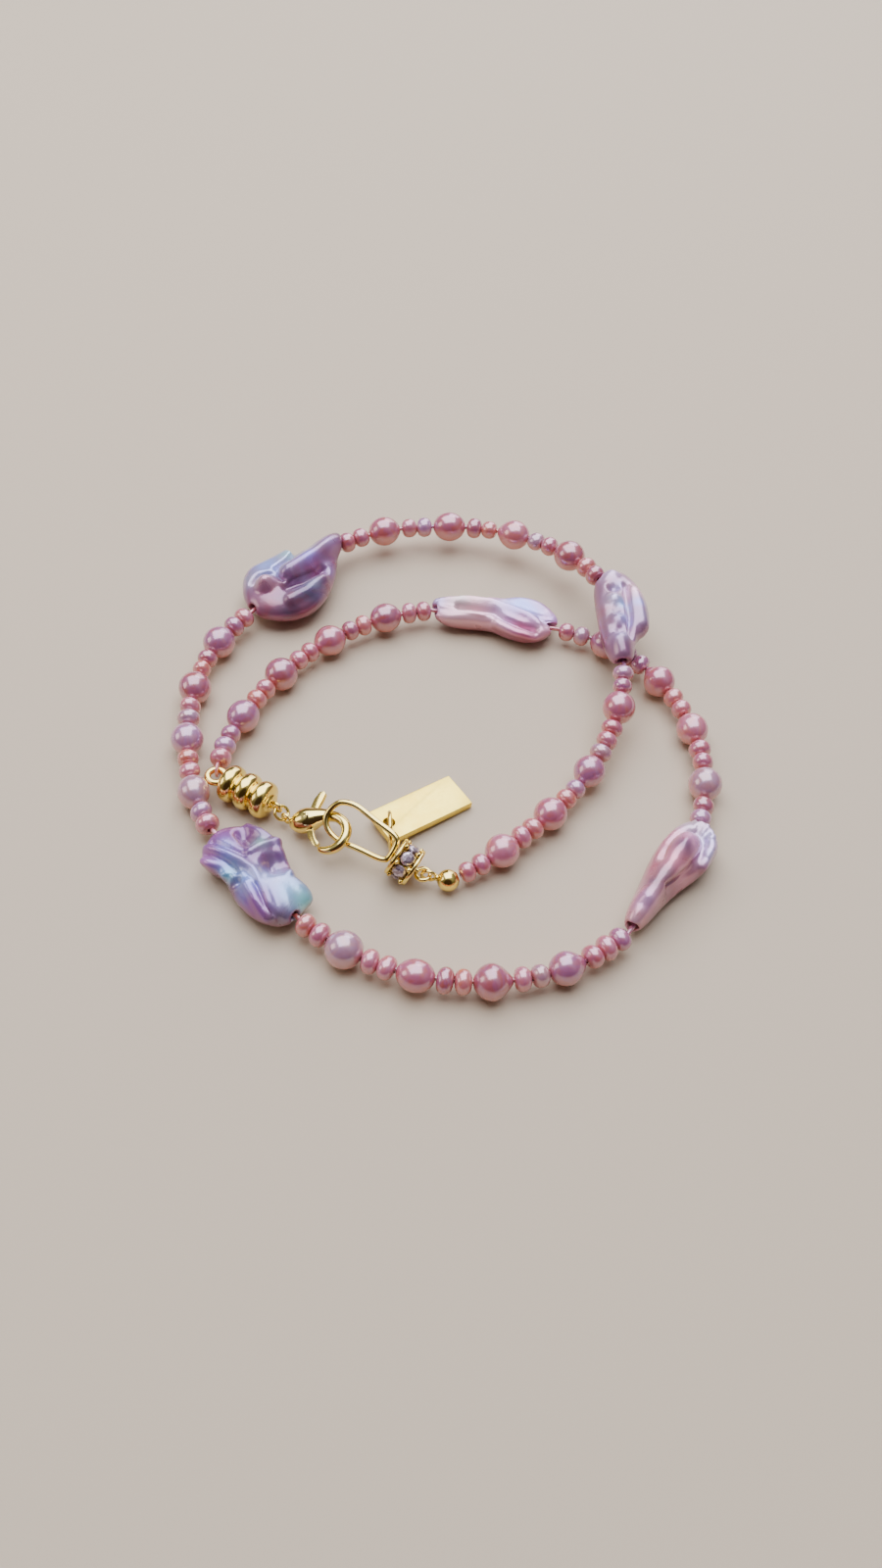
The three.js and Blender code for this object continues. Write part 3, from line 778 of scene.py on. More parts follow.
@dataclass
class PearlString:
    """Drop pearls and button spacers on their thread.

    Lengths, widths and gaps are in millimetres. The mouth's depth is that of a drill hole's lip and of its
    floor. Spacers are crowded, so that they press on each other, and swell a little in front.
    """

    drop_length: float = 4.5
    drop_width: float = 4.3
    spacer_length: float = 1.9
    spacer_width: float = 2.8
    gap: float = 0.12
    thread_radius: float = 0.28
    drill_radius: float = 0.31
    mouth_depth: Row = (0.06, 0.5)
    stations: int = 13
    tip_depth: float = 0.75
    tip_power: float = 1.5
    button_fullness: float = 0.62
    crowding: float = 1.06
    near_swell: float = 0.08
    parting: float = 0.15
    end_loop: Row = (0.75, 0.2)
    thread: Thread = field(default_factory=Thread)

    def beads(self) -> list[Bead]:
        """Lays the beads of each stretch end to end.

        Returns:
            Every drop and spacer, in string order.
        """
        found = []
        for stretch, first, last in zip(STRETCHES, self.thread.starts, self.thread.ends, strict=True):
            kinds = []
            for i, count in enumerate(stretch.spacers):
                kinds += [False] * count + [True] * (i < len(stretch.spacers) - 1)
            size = {True: self.drop_length, False: self.spacer_length}
            nominal = sum(size[kind] + self.gap for kind in kinds)
            fit = (last - first - self.gap) / nominal
            at = first + self.gap
            for kind in kinds:
                length = size[kind] * fit
                found.append(Bead(kind, at + length / 2, length))
                at += length + self.gap * fit
        return found

    def pearl(self, name: str, length: float, width: float, tip: float, square: float) -> Object:
        """Turns one drilled pearl about the z axis.

        Args:
            name: The object's name.
            length: Its length in millimetres.
            width: Its width in millimetres.
            tip: How far it narrows towards its upper end, or below zero its lower end.
            square: 1 for a round profile, less for a fuller one.

        Returns:
            The pearl, about the origin.
        """
        mouth = math.asin((2 * self.drill_radius / width) ** (1 / square))
        rows = []
        for k in range(self.stations):
            angle = -math.pi / 2 + mouth + (math.pi - 2 * mouth) * k / (self.stations - 1)
            along, out = math.sin(angle), math.cos(angle) ** square
            pointed = max(along * math.copysign(1, tip), 0) ** self.tip_power
            out *= 1 - self.tip_depth * abs(tip) * pointed
            rows.append((along * length / 2, max(out * width / 2, self.drill_radius)))
        low, high = rows[0][0], rows[-1][0]
        lip, floor = self.mouth_depth
        inside = [(low + floor, 0.9 * self.drill_radius), (low + lip, self.drill_radius)]
        outside = [(high - lip, self.drill_radius), (high - floor, 0.9 * self.drill_radius)]
        return turned(name, [*inside, *rows, *outside], sides=20)

    def drops(self, finish: Material) -> None:
        """Makes every drop pearl, each turned to its own shape and put in its place."""
        drops = [bead for bead in self.beads() if bead.is_drop]
        for i, (bead, look) in enumerate(zip(drops, DROPS, strict=True)):
            pearl = self.pearl(
                f"nacre_drop_{i + 1:02d}",
                min(bead.length + 0.05, look.length * self.drop_length),
                look.width * self.drop_width,
                look.tip,
                1.0,
            )
            oval = Matrix.Diagonal((1, 0.98 + 0.02 * math.sin(3 * i), 1, 1))
            spin = Matrix.Rotation(2.4 * i, 4, "Z")
            place = seated(self.thread.at(bead.centre), self.thread.heading(bead.centre))
            lay(pearl, place @ spin @ oval)
            smooth(pearl)
            paint(pearl, np.array(linear(look.body.value)[:3]))
            dress(pearl, finish, "bracelet", "drop_pearl", f"drop_pearl_{i + 1:02d}")

    def strand(
        self, name: str, node: str, reach: Row, extra: list[Object], finish: Material
    ) -> Object:
        """Threads the button spacers of one strand and fuses them with the thread.

        Args:
            name: The piece's name.
            node: The node that it stands for.
            reach: Where the strand starts and ends along the string, in millimetres.
            extra: Meshes that belong to it, such as the thread's end loop.
            finish: Its material.

        Returns:
            The strand as one body.
        """
        first, last = reach
        sizes = self.spacer_length, self.spacer_width
        button = self.pearl("button_shape", *sizes, 0.0, self.button_fullness)
        buttons, centres, bodies = [], [], []
        front = self.thread.starts[2], self.thread.ends[2]
        for i, bead in enumerate(self.beads()):
            if bead.is_drop or not first < bead.centre < last:
                continue
            twin = copy_of(button, f"{name}_{i}")
            in_front = front[0] < bead.centre < front[1]
            swell = 1 + 0.05 * math.sin(5.3 * i + 1) + self.near_swell * in_front
            squash = 1 - 0.06 * (1 + math.sin(3.1 * i))
            tilt = Matrix.Rotation(math.radians(6 * math.sin(2.7 * i)), 4, "X")
            spin = Matrix.Rotation(1.9 * i, 4, "Z")
            length = self.crowding * bead.length / self.spacer_length
            size = Matrix.Diagonal((swell, swell * squash, length, 1))
            centre = self.thread.at(bead.centre)
            place = seated(centre, self.thread.heading(bead.centre))
            buttons.append(lay(twin, place @ tilt @ spin @ size))
            centres.append((centre + SETTLE) * MM)
            bodies.append(linear(BUTTON_BODIES[(3 * i + i // 4) % len(BUTTON_BODIES)].value)[:3])
        bpy.data.objects.remove(button)
        run = self.thread.between(first, last)
        cord = wire(f"{name}_thread", run, [self.thread_radius] * len(run), resolution=2)
        for every_other in (buttons[::2], buttons[1::2]):
            take(every_other[0])
            for twin in every_other[1:]:
                twin.select_set(True)
            bpy.ops.object.join()
            unite(cord, every_other[0])
        unite(cord, *extra)
        cord.name = name
        places = np.array([[*v.co] for v in cord.data.vertices])
        gaps = np.linalg.norm(places[:, None, :] - np.array(centres)[None], axis=2)
        paint(cord, np.array(bodies)[gaps.argmin(axis=1)])
        smooth(cord, 60)
        return dress(cord, finish, "bracelet", "spacer_pearl", node)


def dress(piece: Object, finish: Material, body: str, slot: str, *nodes: str) -> Object:
    """Gives a piece its material, its body and the nodes that it stands for.

    Args:
        piece: The finished mesh.
        finish: Its material.
        body: The body that it moves with.
        slot: Not used.
        *nodes: The CAD nodes that it replaces.

    Returns:
        The piece.
    """
    if not piece.data.materials:
        piece.data.materials.append(finish)
    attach(piece, body)
    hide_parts(*nodes)
    LOG.info("%s: %d faces, stands for %s", piece.name, len(piece.data.polygons), ", ".join(nodes))
    return piece


@dataclass(frozen=True)
class Fold:
    """A ridge or furrow of a keshi pearl from above: x along its drill line, y to the left, in mm."""

    path: tuple[Row, ...]
    width: float
    height: float
    crisp: bool = False


@dataclass(frozen=True)
class TintAndPaintedLight:
    """A patch of colour on a keshi pearl: its place and radius in plan, and how full it is. Some are the
    nacre's own overtones; others are painted reflections of the lights on flat faces and ridges, and
    painted shade in furrows and hollows.
    """

    place: Row
    radius: float
    colour: str
    share: float = 0.9


@dataclass(frozen=True)
class KeshiPearl:
    """A flat pearl grown without a bead, with ridges, folds and hollows on its upper face.

    Its relief begins where the surface faces up by more than the rim and is whole a slope further up. The
    depth is a power that deepens its colours.
    """

    number: int
    body: str
    folds: tuple[Fold, ...]
    tints_and_painted_light: tuple[TintAndPaintedLight, ...]
    voxel: float = 0.19
    depth: float = 1.2
    rim: float = -0.15
    slope: float = 0.5
    faintest: float = 0.004

    def grow(self, thread: Thread, finish: Material) -> Object:
        """Sculpts the pearl from the node's own shape and paints its colours, painted reflections and shade
        among them.

        Args:
            thread: The string that it is drilled for.
            finish: Its material.

        Returns:
            The pearl, in its place.
        """
        node = f"keshi_pearl_{self.number}"
        pearl = copy_of(bpy.data.objects[node], f"nacre_keshi_{self.number}")
        pearl.data.materials.clear()
        facing_out(pearl)
        modify(pearl, "SUBSURF", levels=2, render_levels=2)
        modify(pearl, "REMESH", mode="VOXEL", voxel_size=self.voxel * MM)
        modify(pearl, "SMOOTH", factor=0.6, iterations=8)
        for sign, label in ((-1, "sunk"), (1, "raised")):
            folds = [f for f in self.folds if f.height * sign > 0]
            plan, over = self.plan(pearl, thread)
            relief = sum(abs(f.height) * self.share(f, plan) for f in folds)
            relief *= np.clip((over - self.rim) / self.slope, 0, 1)
            most = float(relief.max())
            weight = relief / most
            group = pearl.vertex_groups.new(name=label)
            for i in np.nonzero(weight > self.faintest)[0]:
                group.add([int(i)], float(weight[i]), "REPLACE")
            settings = {"direction": "NORMAL", "mid_level": 0, "strength": sign * most * MM}
            modify(pearl, "DISPLACE", vertex_group=label, **settings)
        modify(pearl, "SMOOTH", factor=0.5, iterations=5)
        smooth(pearl)
        plan, _ = self.plan(pearl, thread)
        colours = np.tile(linear(self.body)[:3], (len(plan), 1))
        # Patches of colour: the nacre's overtones, with painted reflections of the lights and painted shade
        # among them.
        for bloom in self.tints_and_painted_light:
            away = np.hypot(*(plan - np.array(bloom.place)).T) / bloom.radius
            share = bloom.share * np.exp(-(away**2))
            colours = mixed(colours, np.array(linear(bloom.colour)[:3]), share)
        paint(pearl, colours**self.depth)
        return dress(pearl, finish, "bracelet", "keshi_pearl", node)

    def plan(self, pearl: Object, thread: Thread) -> tuple[np.ndarray, np.ndarray]:
        """Where each vertex is in the pearl's plan, and how far it faces up.

        Args:
            pearl: The mesh.
            thread: The string that it is drilled for.

        Returns:
            Rows of x along the drill line and y to its left in millimetres, and the normals' z.
        """
        first, last = thread.at(thread.ends[self.number - 1]), thread.at(thread.starts[self.number])
        along = (last - first).normalized()
        left = UP.cross(along).normalized()
        count = len(pearl.data.vertices)
        places, normals = np.empty(count * 3), np.empty(count * 3)
        pearl.data.vertices.foreach_get("co", places)
        pearl.data.vertices.foreach_get("normal", normals)
        places = places.reshape(-1, 3) / MM - np.array((first + last) / 2 + SETTLE)
        return np.c_[places @ np.array(along), places @ np.array(left)], normals.reshape(-1, 3)[:, 2]

    @staticmethod
    def share(fold: Fold, plan: np.ndarray) -> np.ndarray:
        """How much of a fold's height each point takes.

        Args:
            fold: The fold.
            plan: The points in the pearl's plan, in millimetres.

        Returns:
            A share from 0 to 1 for each point.
        """
        nearest = np.full(len(plan), 1e9)
        path = [np.array(p, float) for p in fold.path]
        for a, b in zip(path, path[1:] or path, strict=False):
            span = b - a
            t = np.clip((plan - a) @ span / max(span @ span, 1e-9), 0, 1)
            nearest = np.minimum(nearest, np.hypot(*(plan - a - t[:, None] * span).T))
        u = np.clip(1 - nearest / fold.width, 0, 1)
        return u**1.4 if fold.crisp else u * u * (3 - 2 * u)


# Among each pearl's patches are painted reflections of the lights, the pale blues and silvers, and painted
# shade, the dark plums and greys along furrows and hollows.
KESHI = (
    KeshiPearl(
        1,
        "eaa6ae",
        (
            Fold(
                ((-8, 0.9), (-3.8, 1.7), (-0.9, 1.8), (1.6, 1.2), (4.4, 0.3), (5.9, -0.7)), 1.0, 0.75, True
            ),
            Fold(((-5, 0.1), (-0.3, 0.2), (1.2, -0.8), (3.5, -1.5), (5.6, -1.9)), 0.8, -0.8),
            Fold(((0.4, -1.3), (2.7, -2.4), (5.3, -2.5), (7.2, -1)), 0.9, 0.45),
            Fold(((-8, 0.2), (-4.7, -0.4), (-1.5, -0.6)), 0.4, 0.25), Fold(((1, 3), (6, 2)), 2.2, -0.5),
            Fold(((5.8, 0.4), (7.6, 0.3)), 0.7, -0.6, True),
        ),
        (
            TintAndPaintedLight((-5, -1), 3.0, "e2b0b4"), TintAndPaintedLight((-1.5, 2), 3.2, "ffcccf"),
            TintAndPaintedLight((0.6, 2), 1.8, "ecc0e4"), TintAndPaintedLight((3.8, 1.6), 3.2, "9cacfc", 1.0),
            TintAndPaintedLight((2.8, 3), 1.8, "a0aef8"), TintAndPaintedLight((7.6, 1.4), 1.3, "c49cdc"),
            TintAndPaintedLight((-8.2, 0.8), 1.6, "aca6d8"), TintAndPaintedLight((-5, 1.2), 1.3, "e6d2cc"),
            TintAndPaintedLight((3.5, -1.4), 2.0, "dc8cac"), TintAndPaintedLight((4.5, -3.2), 1.8, "c05c70"),
        ),
        depth=1.1,
    ),
    KeshiPearl(
        2,
        "da9ca2",
        (
            Fold(((-4.3, 0.5), (-2.6, 0.4)), 2.3, 0.6), Fold(((-4, 0.5), (0.4, 0.3)), 2.0, 0.4),
            Fold(((-3, 0.4), (1.6, 0.2), (4.8, 0.1)), 1.5, 0.5),
            Fold(
                (
                    (-0.6, -1), (-2.9, -1.4), (-4.9, -0.9), (-6.2, 0.4), (-5.7, 1.9), (-3.9, 2.5),
                    (-1, 2.4), (2.4, 1.4),
                ),
                0.9,
                -0.8,
            ),
            Fold(((-7.6, 0.4), (-7.2, 1.9), (-5.6, 2.9), (-3, 3.1)), 0.6, 0.7),
            Fold(((-8.4, -0.4), (-6.6, 0.2)), 0.35, 0.35, True),
            Fold(((-8.2, 1.2), (-6.6, 1.2)), 0.35, 0.3, True),
            Fold(((-6.9, 2.9), (-6.2, 2)), 0.35, 0.3, True),
        ),
        (
            TintAndPaintedLight((-4.2, 0.9), 2.2, "f49cc8", 1.0), TintAndPaintedLight((-2.4, 0.5), 1.3, "6f5a64"),
            TintAndPaintedLight((-0.4, 0.4), 1.5, "f4aabc"), TintAndPaintedLight((1.8, 0.3), 1.2, "b09294"),
            TintAndPaintedLight((3.2, -0.2), 1.1, "7f6a68", 0.8), TintAndPaintedLight((5.4, 0.1), 1.3, "d0a4c8"),
            TintAndPaintedLight((-6.4, 2.2), 2.1, "d0c8ec", 1.0), TintAndPaintedLight((-4.4, 3.6), 1.6, "d4c8e8", 1.0),
            TintAndPaintedLight((-7.2, -0.6), 1.9, "d8c8d4"), TintAndPaintedLight((-2, 4), 1.4, "a4707c"),
            TintAndPaintedLight((8.2, 0), 1.4, "d6aeb4"), TintAndPaintedLight((0.5, -2.4), 2.4, "c47c84", 0.7),
            TintAndPaintedLight((1.5, 2.6), 1.8, "a45c70", 0.8),
        ),
        depth=1.3,
    ),
    KeshiPearl(
        3,
        "95689a",
        (
            Fold(((5.6, 2.2), (3.3, 1.4), (1.2, 0.7), (-0.6, 0.4), (-3, 0.9), (-6.4, 1.9)), 0.8, 0.7, True),
            Fold(((6, 1.4), (3.2, 0.6), (1.4, 0.1)), 0.5, -0.45),
            Fold(((4.5, -2.1), (3.2, -1.9)), 1.6, -1.2),
            Fold(((1.5, -0.8), (1.5, -2.2), (1.1, -3.8)), 0.8, 0.5), Fold(((-1.4, -2.1),), 2.2, -1.5),
            Fold(((5.4, -3.2), (3.4, -3.6), (1, -4), (-1.3, -3.4), (-3.4, -2.6)), 0.7, 0.55),
            Fold(((-7, 0.2), (-5.4, -0.2), (-3.6, -0.4)), 1.6, 0.3),
            Fold(((4.8, 3.4), (3, 3.2), (1.4, 2.8)), 0.6, 0.5),
            Fold(((5, 2.8), (2.6, 2.1), (0.4, 1.9)), 0.5, -0.4), Fold(((-0.5, 2.7),), 0.9, -0.7),
            Fold(((-1.6, 2), (-3.8, 2.4), (-6, 2.6)), 0.9, 0.5),
            Fold(((-2.6, 1.3), (-5, 2.1), (-7, 2)), 0.8, -0.35),
        ),
        (
            TintAndPaintedLight((5.4, 0.2), 2.0, "b474b8"), TintAndPaintedLight((4.2, 0.9), 1.4, "8f92cc"),
            TintAndPaintedLight((3.7, -2), 1.3, "8a5a80"), TintAndPaintedLight((2, -2.4), 1.0, "a8ccc8", 1.0),
            TintAndPaintedLight((-0.6, -2), 1.5, "956a84"), TintAndPaintedLight((-5, -0.9), 2.6, "a6c6ec", 1.0),
            TintAndPaintedLight((-2.8, -0.6), 1.6, "b8c4e8"), TintAndPaintedLight((-7.2, -1.8), 1.6, "9fe0dc", 1.0),
            TintAndPaintedLight((2.4, 2.2), 1.5, "8e8ed6"), TintAndPaintedLight((0.9, 2.6), 1.2, "86c8e4", 1.0),
            TintAndPaintedLight((-1.2, 1.8), 1.3, "9cbcf0", 1.0), TintAndPaintedLight((-2.6, 2.4), 1.4, "8ea0e0"),
            TintAndPaintedLight((-0.5, 3.6), 1.0, "7a5268"), TintAndPaintedLight((-4.4, 3), 2.2, "a060a0"),
            TintAndPaintedLight((-7.6, 2.2), 1.4, "92887e"), TintAndPaintedLight((4.8, 3.6), 1.5, "c884c4"),
        ),
        depth=1.35,
    ),
    KeshiPearl(
        4,
        "9a6478",
        (
            Fold(((-4.8, 0.6),), 1.9, 1.5),
            Fold(((-5.6, 2.4), (-3.7, 2.6), (-2.4, 1.2), (-2.7, -0.5)), 0.7, -0.8),
            Fold(((-1.2, -0.2), (1.2, -0.4), (3.6, -0.5), (8.6, 0.2)), 1.9, 1.2),
            Fold(((3.2, 3.6), (2.8, 2.3), (0.6, 1.8), (-1.6, 1.8)), 0.9, -1.1),
            Fold(((-3.4, -1.7), (-1, -2.6), (1.4, -3), (2.6, -3)), 0.95, -1.0),
            Fold(((-4.4, -3.6), (-1.8, -4.2), (1.2, -4)), 1.3, 0.5),
            Fold(((-2.4, 3.4), (0.6, 3.6)), 2.2, -0.4),
        ),
        (
            TintAndPaintedLight((-1.6, 3.2), 2.8, "a8b8f0", 1.0), TintAndPaintedLight((1.6, 3), 1.4, "b8dce4", 1.0),
            TintAndPaintedLight((-5.4, 3.4), 1.6, "b4aec4"), TintAndPaintedLight((-4.6, 0.9), 1.3, "d0a0b0", 1.0),
            TintAndPaintedLight((-7, -1.2), 1.5, "a05a68"), TintAndPaintedLight((0.6, -0.6), 1.8, "a486c4", 1.0),
            TintAndPaintedLight((2.2, -0.8), 1.2, "9c94e8", 1.0), TintAndPaintedLight((3.6, 1.2), 1.5, "c0bcd2"),
            TintAndPaintedLight((6.4, -0.3), 1.6, "b294c0"), TintAndPaintedLight((8.4, 1), 1.4, "805c6c"),
            TintAndPaintedLight((-1.2, -1.8), 1.0, "8c2c50", 1.0), TintAndPaintedLight((0.6, -2.1), 1.1, "8c2c50", 1.0),
            TintAndPaintedLight((2.6, -2.2), 1.0, "943a5c", 1.0), TintAndPaintedLight((-1.6, -4.2), 2.6, "5e4a68", 1.0),
            TintAndPaintedLight((-0.6, -4.6), 1.0, "9a94b0", 0.7), TintAndPaintedLight((-5.6, -5), 1.6, "6a4458"),
            TintAndPaintedLight((3.4, -3.2), 1.2, "a88cb8"),
        ),
    ),
    KeshiPearl(
        5,
        "a8788c",
        (
            Fold(((-7.2, 1.3),), 1.7, 0.7), Fold(((-4.6, 1),), 1.3, -0.9),
            Fold(((-2.2, 0.6),), 1.5, 0.75), Fold(((-0.2, 0.4),), 0.9, -0.3),
            Fold(((1.4, 0.3),), 1.4, 0.55), Fold(((3.3, 0.2),), 1.0, -0.4),
            Fold(((4.8, 0), (6.4, 0.1)), 1.8, 0.8),
            Fold(((-5, 2.7), (-2, 2.3), (0.5, 2.1), (4.2, 1.6)), 0.6, -0.9),
            Fold(((-4, 3.7), (-1, 3.9), (1.6, 3.8)), 1.2, 0.4),
        ),
        (
            TintAndPaintedLight((-7.4, 1.2), 1.6, "dcc0e0", 1.0), TintAndPaintedLight((-4.2, 0.9), 1.1, "8c6478"),
            TintAndPaintedLight((-4.6, 1.9), 0.9, "a8a0dc"), TintAndPaintedLight((-2, 0.5), 1.2, "dccce8", 1.0),
            TintAndPaintedLight((-1.2, 1.4), 1.0, "a4bcf0", 1.0), TintAndPaintedLight((0.4, 0.2), 1.0, "8e8094"),
            TintAndPaintedLight((1.2, 1.2), 1.2, "a8a4e8"), TintAndPaintedLight((4.2, 0.2), 1.3, "b8a4cc"),
            TintAndPaintedLight((6, 0.1), 1.0, "845066"), TintAndPaintedLight((-3.8, 4), 2.0, "f2c8dc", 1.0),
            TintAndPaintedLight((0.8, 4), 1.6, "ac98b4"), TintAndPaintedLight((-1.4, 3.8), 1.0, "b0aae6"),
            TintAndPaintedLight((0, -1.6), 2.2, "b48490", 0.7),
        ),
    ),
)


@dataclass
class RibbedTube:
    """The end tube: three fat ribs between collars, with an eye at each end.

    Each row of a collar is an inset from the tube's end and the radius there.
    """

    gold: Material
    centre: Vector = Vector((-22.8, -12.6, 2.35))
    direction: Vector = Vector((0.894, -0.447, 0))
    half: float = 3.6
    rib_radius: float = 2.33
    rib_half: float = 0.92
    pitch: float = 2.25
    groove_radius: float = 1.5
    collar: tuple[Row, ...] = ((0, 0.95), (0.08, 1.15), (0.25, 1.22))
    shoulder: float = 1.06
    fullness: float = 0.6
    end_eye: Row = (1.02, 0.4)
    chain_eye: Row = (0.62, 0.2)
    sink: float = 0.07
    droop: float = 0.15

    def end_eye_centre(self) -> Vector:
        """The centre of the eye that takes the string."""
        return self.centre - self.direction * (self.half + self.end_eye[0] - self.sink)

    def chain_eye_centre(self) -> Vector:
        """The centre of the small eye towards the clasp."""
        reach = self.half + self.chain_eye[0] - self.sink
        return self.centre + self.direction * reach - self.droop * UP

    def build(self, chain_side: Vector) -> Object:
        """Turns the tube and solders its eyes on.

        Args:
            chain_side: The normal of the small eye's plane.

        Returns:
            The tube.
        """
        rows = [(-self.half + inset, radius) for inset, radius in self.collar]
        for k in (-1, 0, 1):
            middle = k * self.pitch
            rows.append((middle - self.shoulder * self.rib_half, self.groove_radius))
            for degrees in range(-75, 76, 25):
                angle = math.radians(degrees)
                bulge = (self.rib_radius - self.groove_radius) * math.cos(angle) ** self.fullness
                rows.append((middle + self.rib_half * math.sin(angle), self.groove_radius + bulge))
            rows.append((middle + self.shoulder * self.rib_half, self.groove_radius))
        rows += [(self.half - inset, radius) for inset, radius in reversed(self.collar)]
        tube = lay(turned("gold_ribbed_tube", rows, 40), seated(self.centre, self.direction))
        unite(
            tube,
            ring("end_eye", self.end_eye, self.end_eye_centre(), UP, 200),
            ring("chain_eye", self.chain_eye, self.chain_eye_centre(), chain_side, 90),
        )
        smooth(tube, 50)
        return dress(tube, self.gold, "bracelet", "gold", "ribbed_tube")


@dataclass
class LobsterClasp:
    """The lobster clasp, its lever and the jump ring that ties it to the tube.

    Each row of its sweep is a point in the clasp's frame, along it and towards the thumb tab, and the
    bar's radius there. The slot, and the rivet's rows of half length and radius, are in the same frame.
    """

    gold: Material
    claw: Vector = Vector((-12, -18.3, 3.2))
    tail: Vector = Vector((-17.2, -15.7, 1.4))
    lean: Vector = Vector((-0.39, -0.15, 0.91))
    tail_eye: Vector = Vector((-17.9, -15.3, 1.25))
    eye: Row = (0.62, 0.2)
    link: Row = (0.85, 0.2)
    slot: Row = (2.6, 4)
    slot_centre: Row = (-4.05, 1.6)
    slot_half: float = 0.38
    rivet: tuple[Row, ...] = ((1.5, 0.1), (1.48, 0.3), (1.38, 0.36))
    rivet_centre: Row = (-3.7, 0.75)
    edge: float = 0.09
    rows: tuple[Point, ...] = (
        (-6.3, 0, 0.3), (-6, -0.02, 0.62), (-5.55, -0.02, 1.02), (-4.9, 0.15, 1.38), (-3.9, 0.7, 1.5),
        (-2.8, 1.35, 1.12), (-1.7, 1.8, 0.76), (-0.4, 1.92, 0.63), (0.8, 1.5, 0.61), (1.6, 0.6, 0.6),
        (1.75, -0.5, 0.6), (1.3, -1.6, 0.57), (0.4, -2.25, 0.5), (-0.5, -2.4, 0.38),
        (-0.88, -2.36, 0.2),
    )

    def frame(self) -> Matrix:
        """The clasp's frame in metres: u from tail to claw, w towards the thumb tab, n out of its plane."""
        u = (self.claw - self.tail).normalized()
        n = (self.lean - self.lean.dot(u) * u).normalized()
        turn = Matrix((u, n.cross(u), n)).transposed().to_4x4()
        return Matrix.Translation((self.claw + SETTLE) * MM) @ turn

    def chain_side(self, tube_end: Vector) -> Vector:
        """The normal of both small eyes, across the chain."""
        return (self.tail_eye - tube_end).cross(UP).normalized()

    def build(self, tube_end: Vector) -> None:
        """Makes the hook, the lever and the jump ring.

        Args:
            tube_end: The centre of the tube's small eye.
        """
        self.hook(tube_end)
        self.lever()
        chain = self.tail_eye - tube_end
        side = self.chain_side(tube_end)
        link = ring("gold_clasp_link", self.link, (self.tail_eye + tube_end) / 2, chain.cross(side), 90)
        smooth(link)
        dress(link, self.gold, "bracelet", "gold", "clasp_link")

    def hook(self, tube_end: Vector) -> Object:
        """Makes the bulb and claw, slotted for the lever, with its rivet and tail eye.

        Args:
            tube_end: The centre of the tube's small eye.

        Returns:
            The hook.
        """
        knots = [Vector(row) for row in self.rows]
        run = curved(knots, False, 6)
        line = [Vector((p.x, p.y, 0)) for p in run]
        hook = wire("gold_clasp_hook", line, [p.z for p in run], resolution=7)
        slot = start(bpy.ops.mesh.primitive_cube_add, "slot", size=1)
        slot.dimensions = Vector((*self.slot, 2 * self.slot_half)) * MM
        slot.location = Vector((*self.slot_centre, 0)) * MM
        unite(hook, freeze(slot), operation="DIFFERENCE")
        rivet = turned("rivet", [*((-n, r) for n, r in self.rivet), *reversed(self.rivet)], 20)
        lay(rivet, Matrix.Translation(Vector((*self.rivet_centre, 0)) * MM))
        unite(hook, rivet)
        lay(hook, self.frame())
        unite(hook, ring("tail_eye", self.eye, self.tail_eye, self.chain_side(tube_end), 90))
        smooth(hook, 40)
        return dress(hook, self.gold, "bracelet", "gold", "clasp_hook")

    def lever(self) -> Object:
        """Rounds the lever's edges, from the node's own shape.

        Returns:
            The lever.
        """
        lever = copy_of(bpy.data.objects["clasp_lever"], "gold_clasp_lever")
        lever.data.materials.clear()
        facing_out(lever)
        modify(lever, "DECIMATE", decimate_type="DISSOLVE", angle_limit=math.radians(4))
        break_edges(lever, self.edge)
        smooth(lever, 35)
        return dress(lever, self.gold, "lever", "gold", "clasp_lever")


@dataclass
class LoopPin:
    """The long wire loop that the claw holds, and its pin through the rondelle to an eye.

    Sides are distances along the loop from its bend, and from its bar, each with the half width there.
    """

    gold: Material
    bend: Vector = Vector((-12.9, -16.4, 4.1))
    lean: Vector = Vector((-10.7, -20.2, 1.95))
    bar: Vector = Vector((-5.15, -20.6, 3.3))
    sides: tuple[Row, ...] = ((0.6, 1.5), (2.2, 2.2), (5.4, 1.9))
    bar_sides: tuple[Row, ...] = ((-0.45, 1.5), (0, 1.1))
    offset: float = 0.35
    wire_radius: float = 0.36
    eye: Row = (0.8, 0.25)
    pin_radius: float = 0.28
    reach: float = 0.3
    sink: float = 0.07

    def frame(self) -> Matrix:
        """The loop's frame in millimetres: x along it, y across, z up out of its plane."""
        x = (self.bar - self.bend).normalized()
        z = x.cross(self.lean - self.bend).normalized()
        z = z if z.z > 0 else -z
        turn = Matrix((x, z.cross(x), z)).transposed().to_4x4()
        return Matrix.Translation(self.bend) @ turn

    def build(self, rondelle: "Rondelle") -> Object:
        """Bends the loop and solders its pin and eye on.

        Args:
            rondelle: The rondelle that the pin passes through.

        Returns:
            The loop pin.
        """
        far = (self.bar - self.bend).length
        half = (*self.sides, *((far + a, b) for a, b in self.bar_sides))
        knots = [Vector((0, 0, 0))]
        knots += [Vector((a, self.offset + b, 0)) for a, b in half]
        knots += [Vector((a, self.offset - b, 0)) for a, b in reversed(half)]
        run = [self.frame() @ p + SETTLE for p in curved(knots, True, 10)]
        loop = wire("gold_loop_pin", run, [self.wire_radius] * len(run), closed=True, resolution=6)
        end = rondelle.centre + rondelle.direction * (rondelle.half + self.reach)
        pin = wire("pin", [self.bar + SETTLE, end + SETTLE], [self.pin_radius] * 2)
        unite(loop, pin, ring("pin_eye", self.eye, self.eye_centre(rondelle), UP, 30))
        smooth(loop, 60)
        return dress(loop, self.gold, "bracelet", "gold", "loop_pin")

    def eye_centre(self, rondelle: "Rondelle") -> Vector:
        """The centre of the eye past the rondelle."""
        reach = rondelle.half + self.reach + self.eye[0] - self.sink
        return rondelle.centre + rondelle.direction * reach


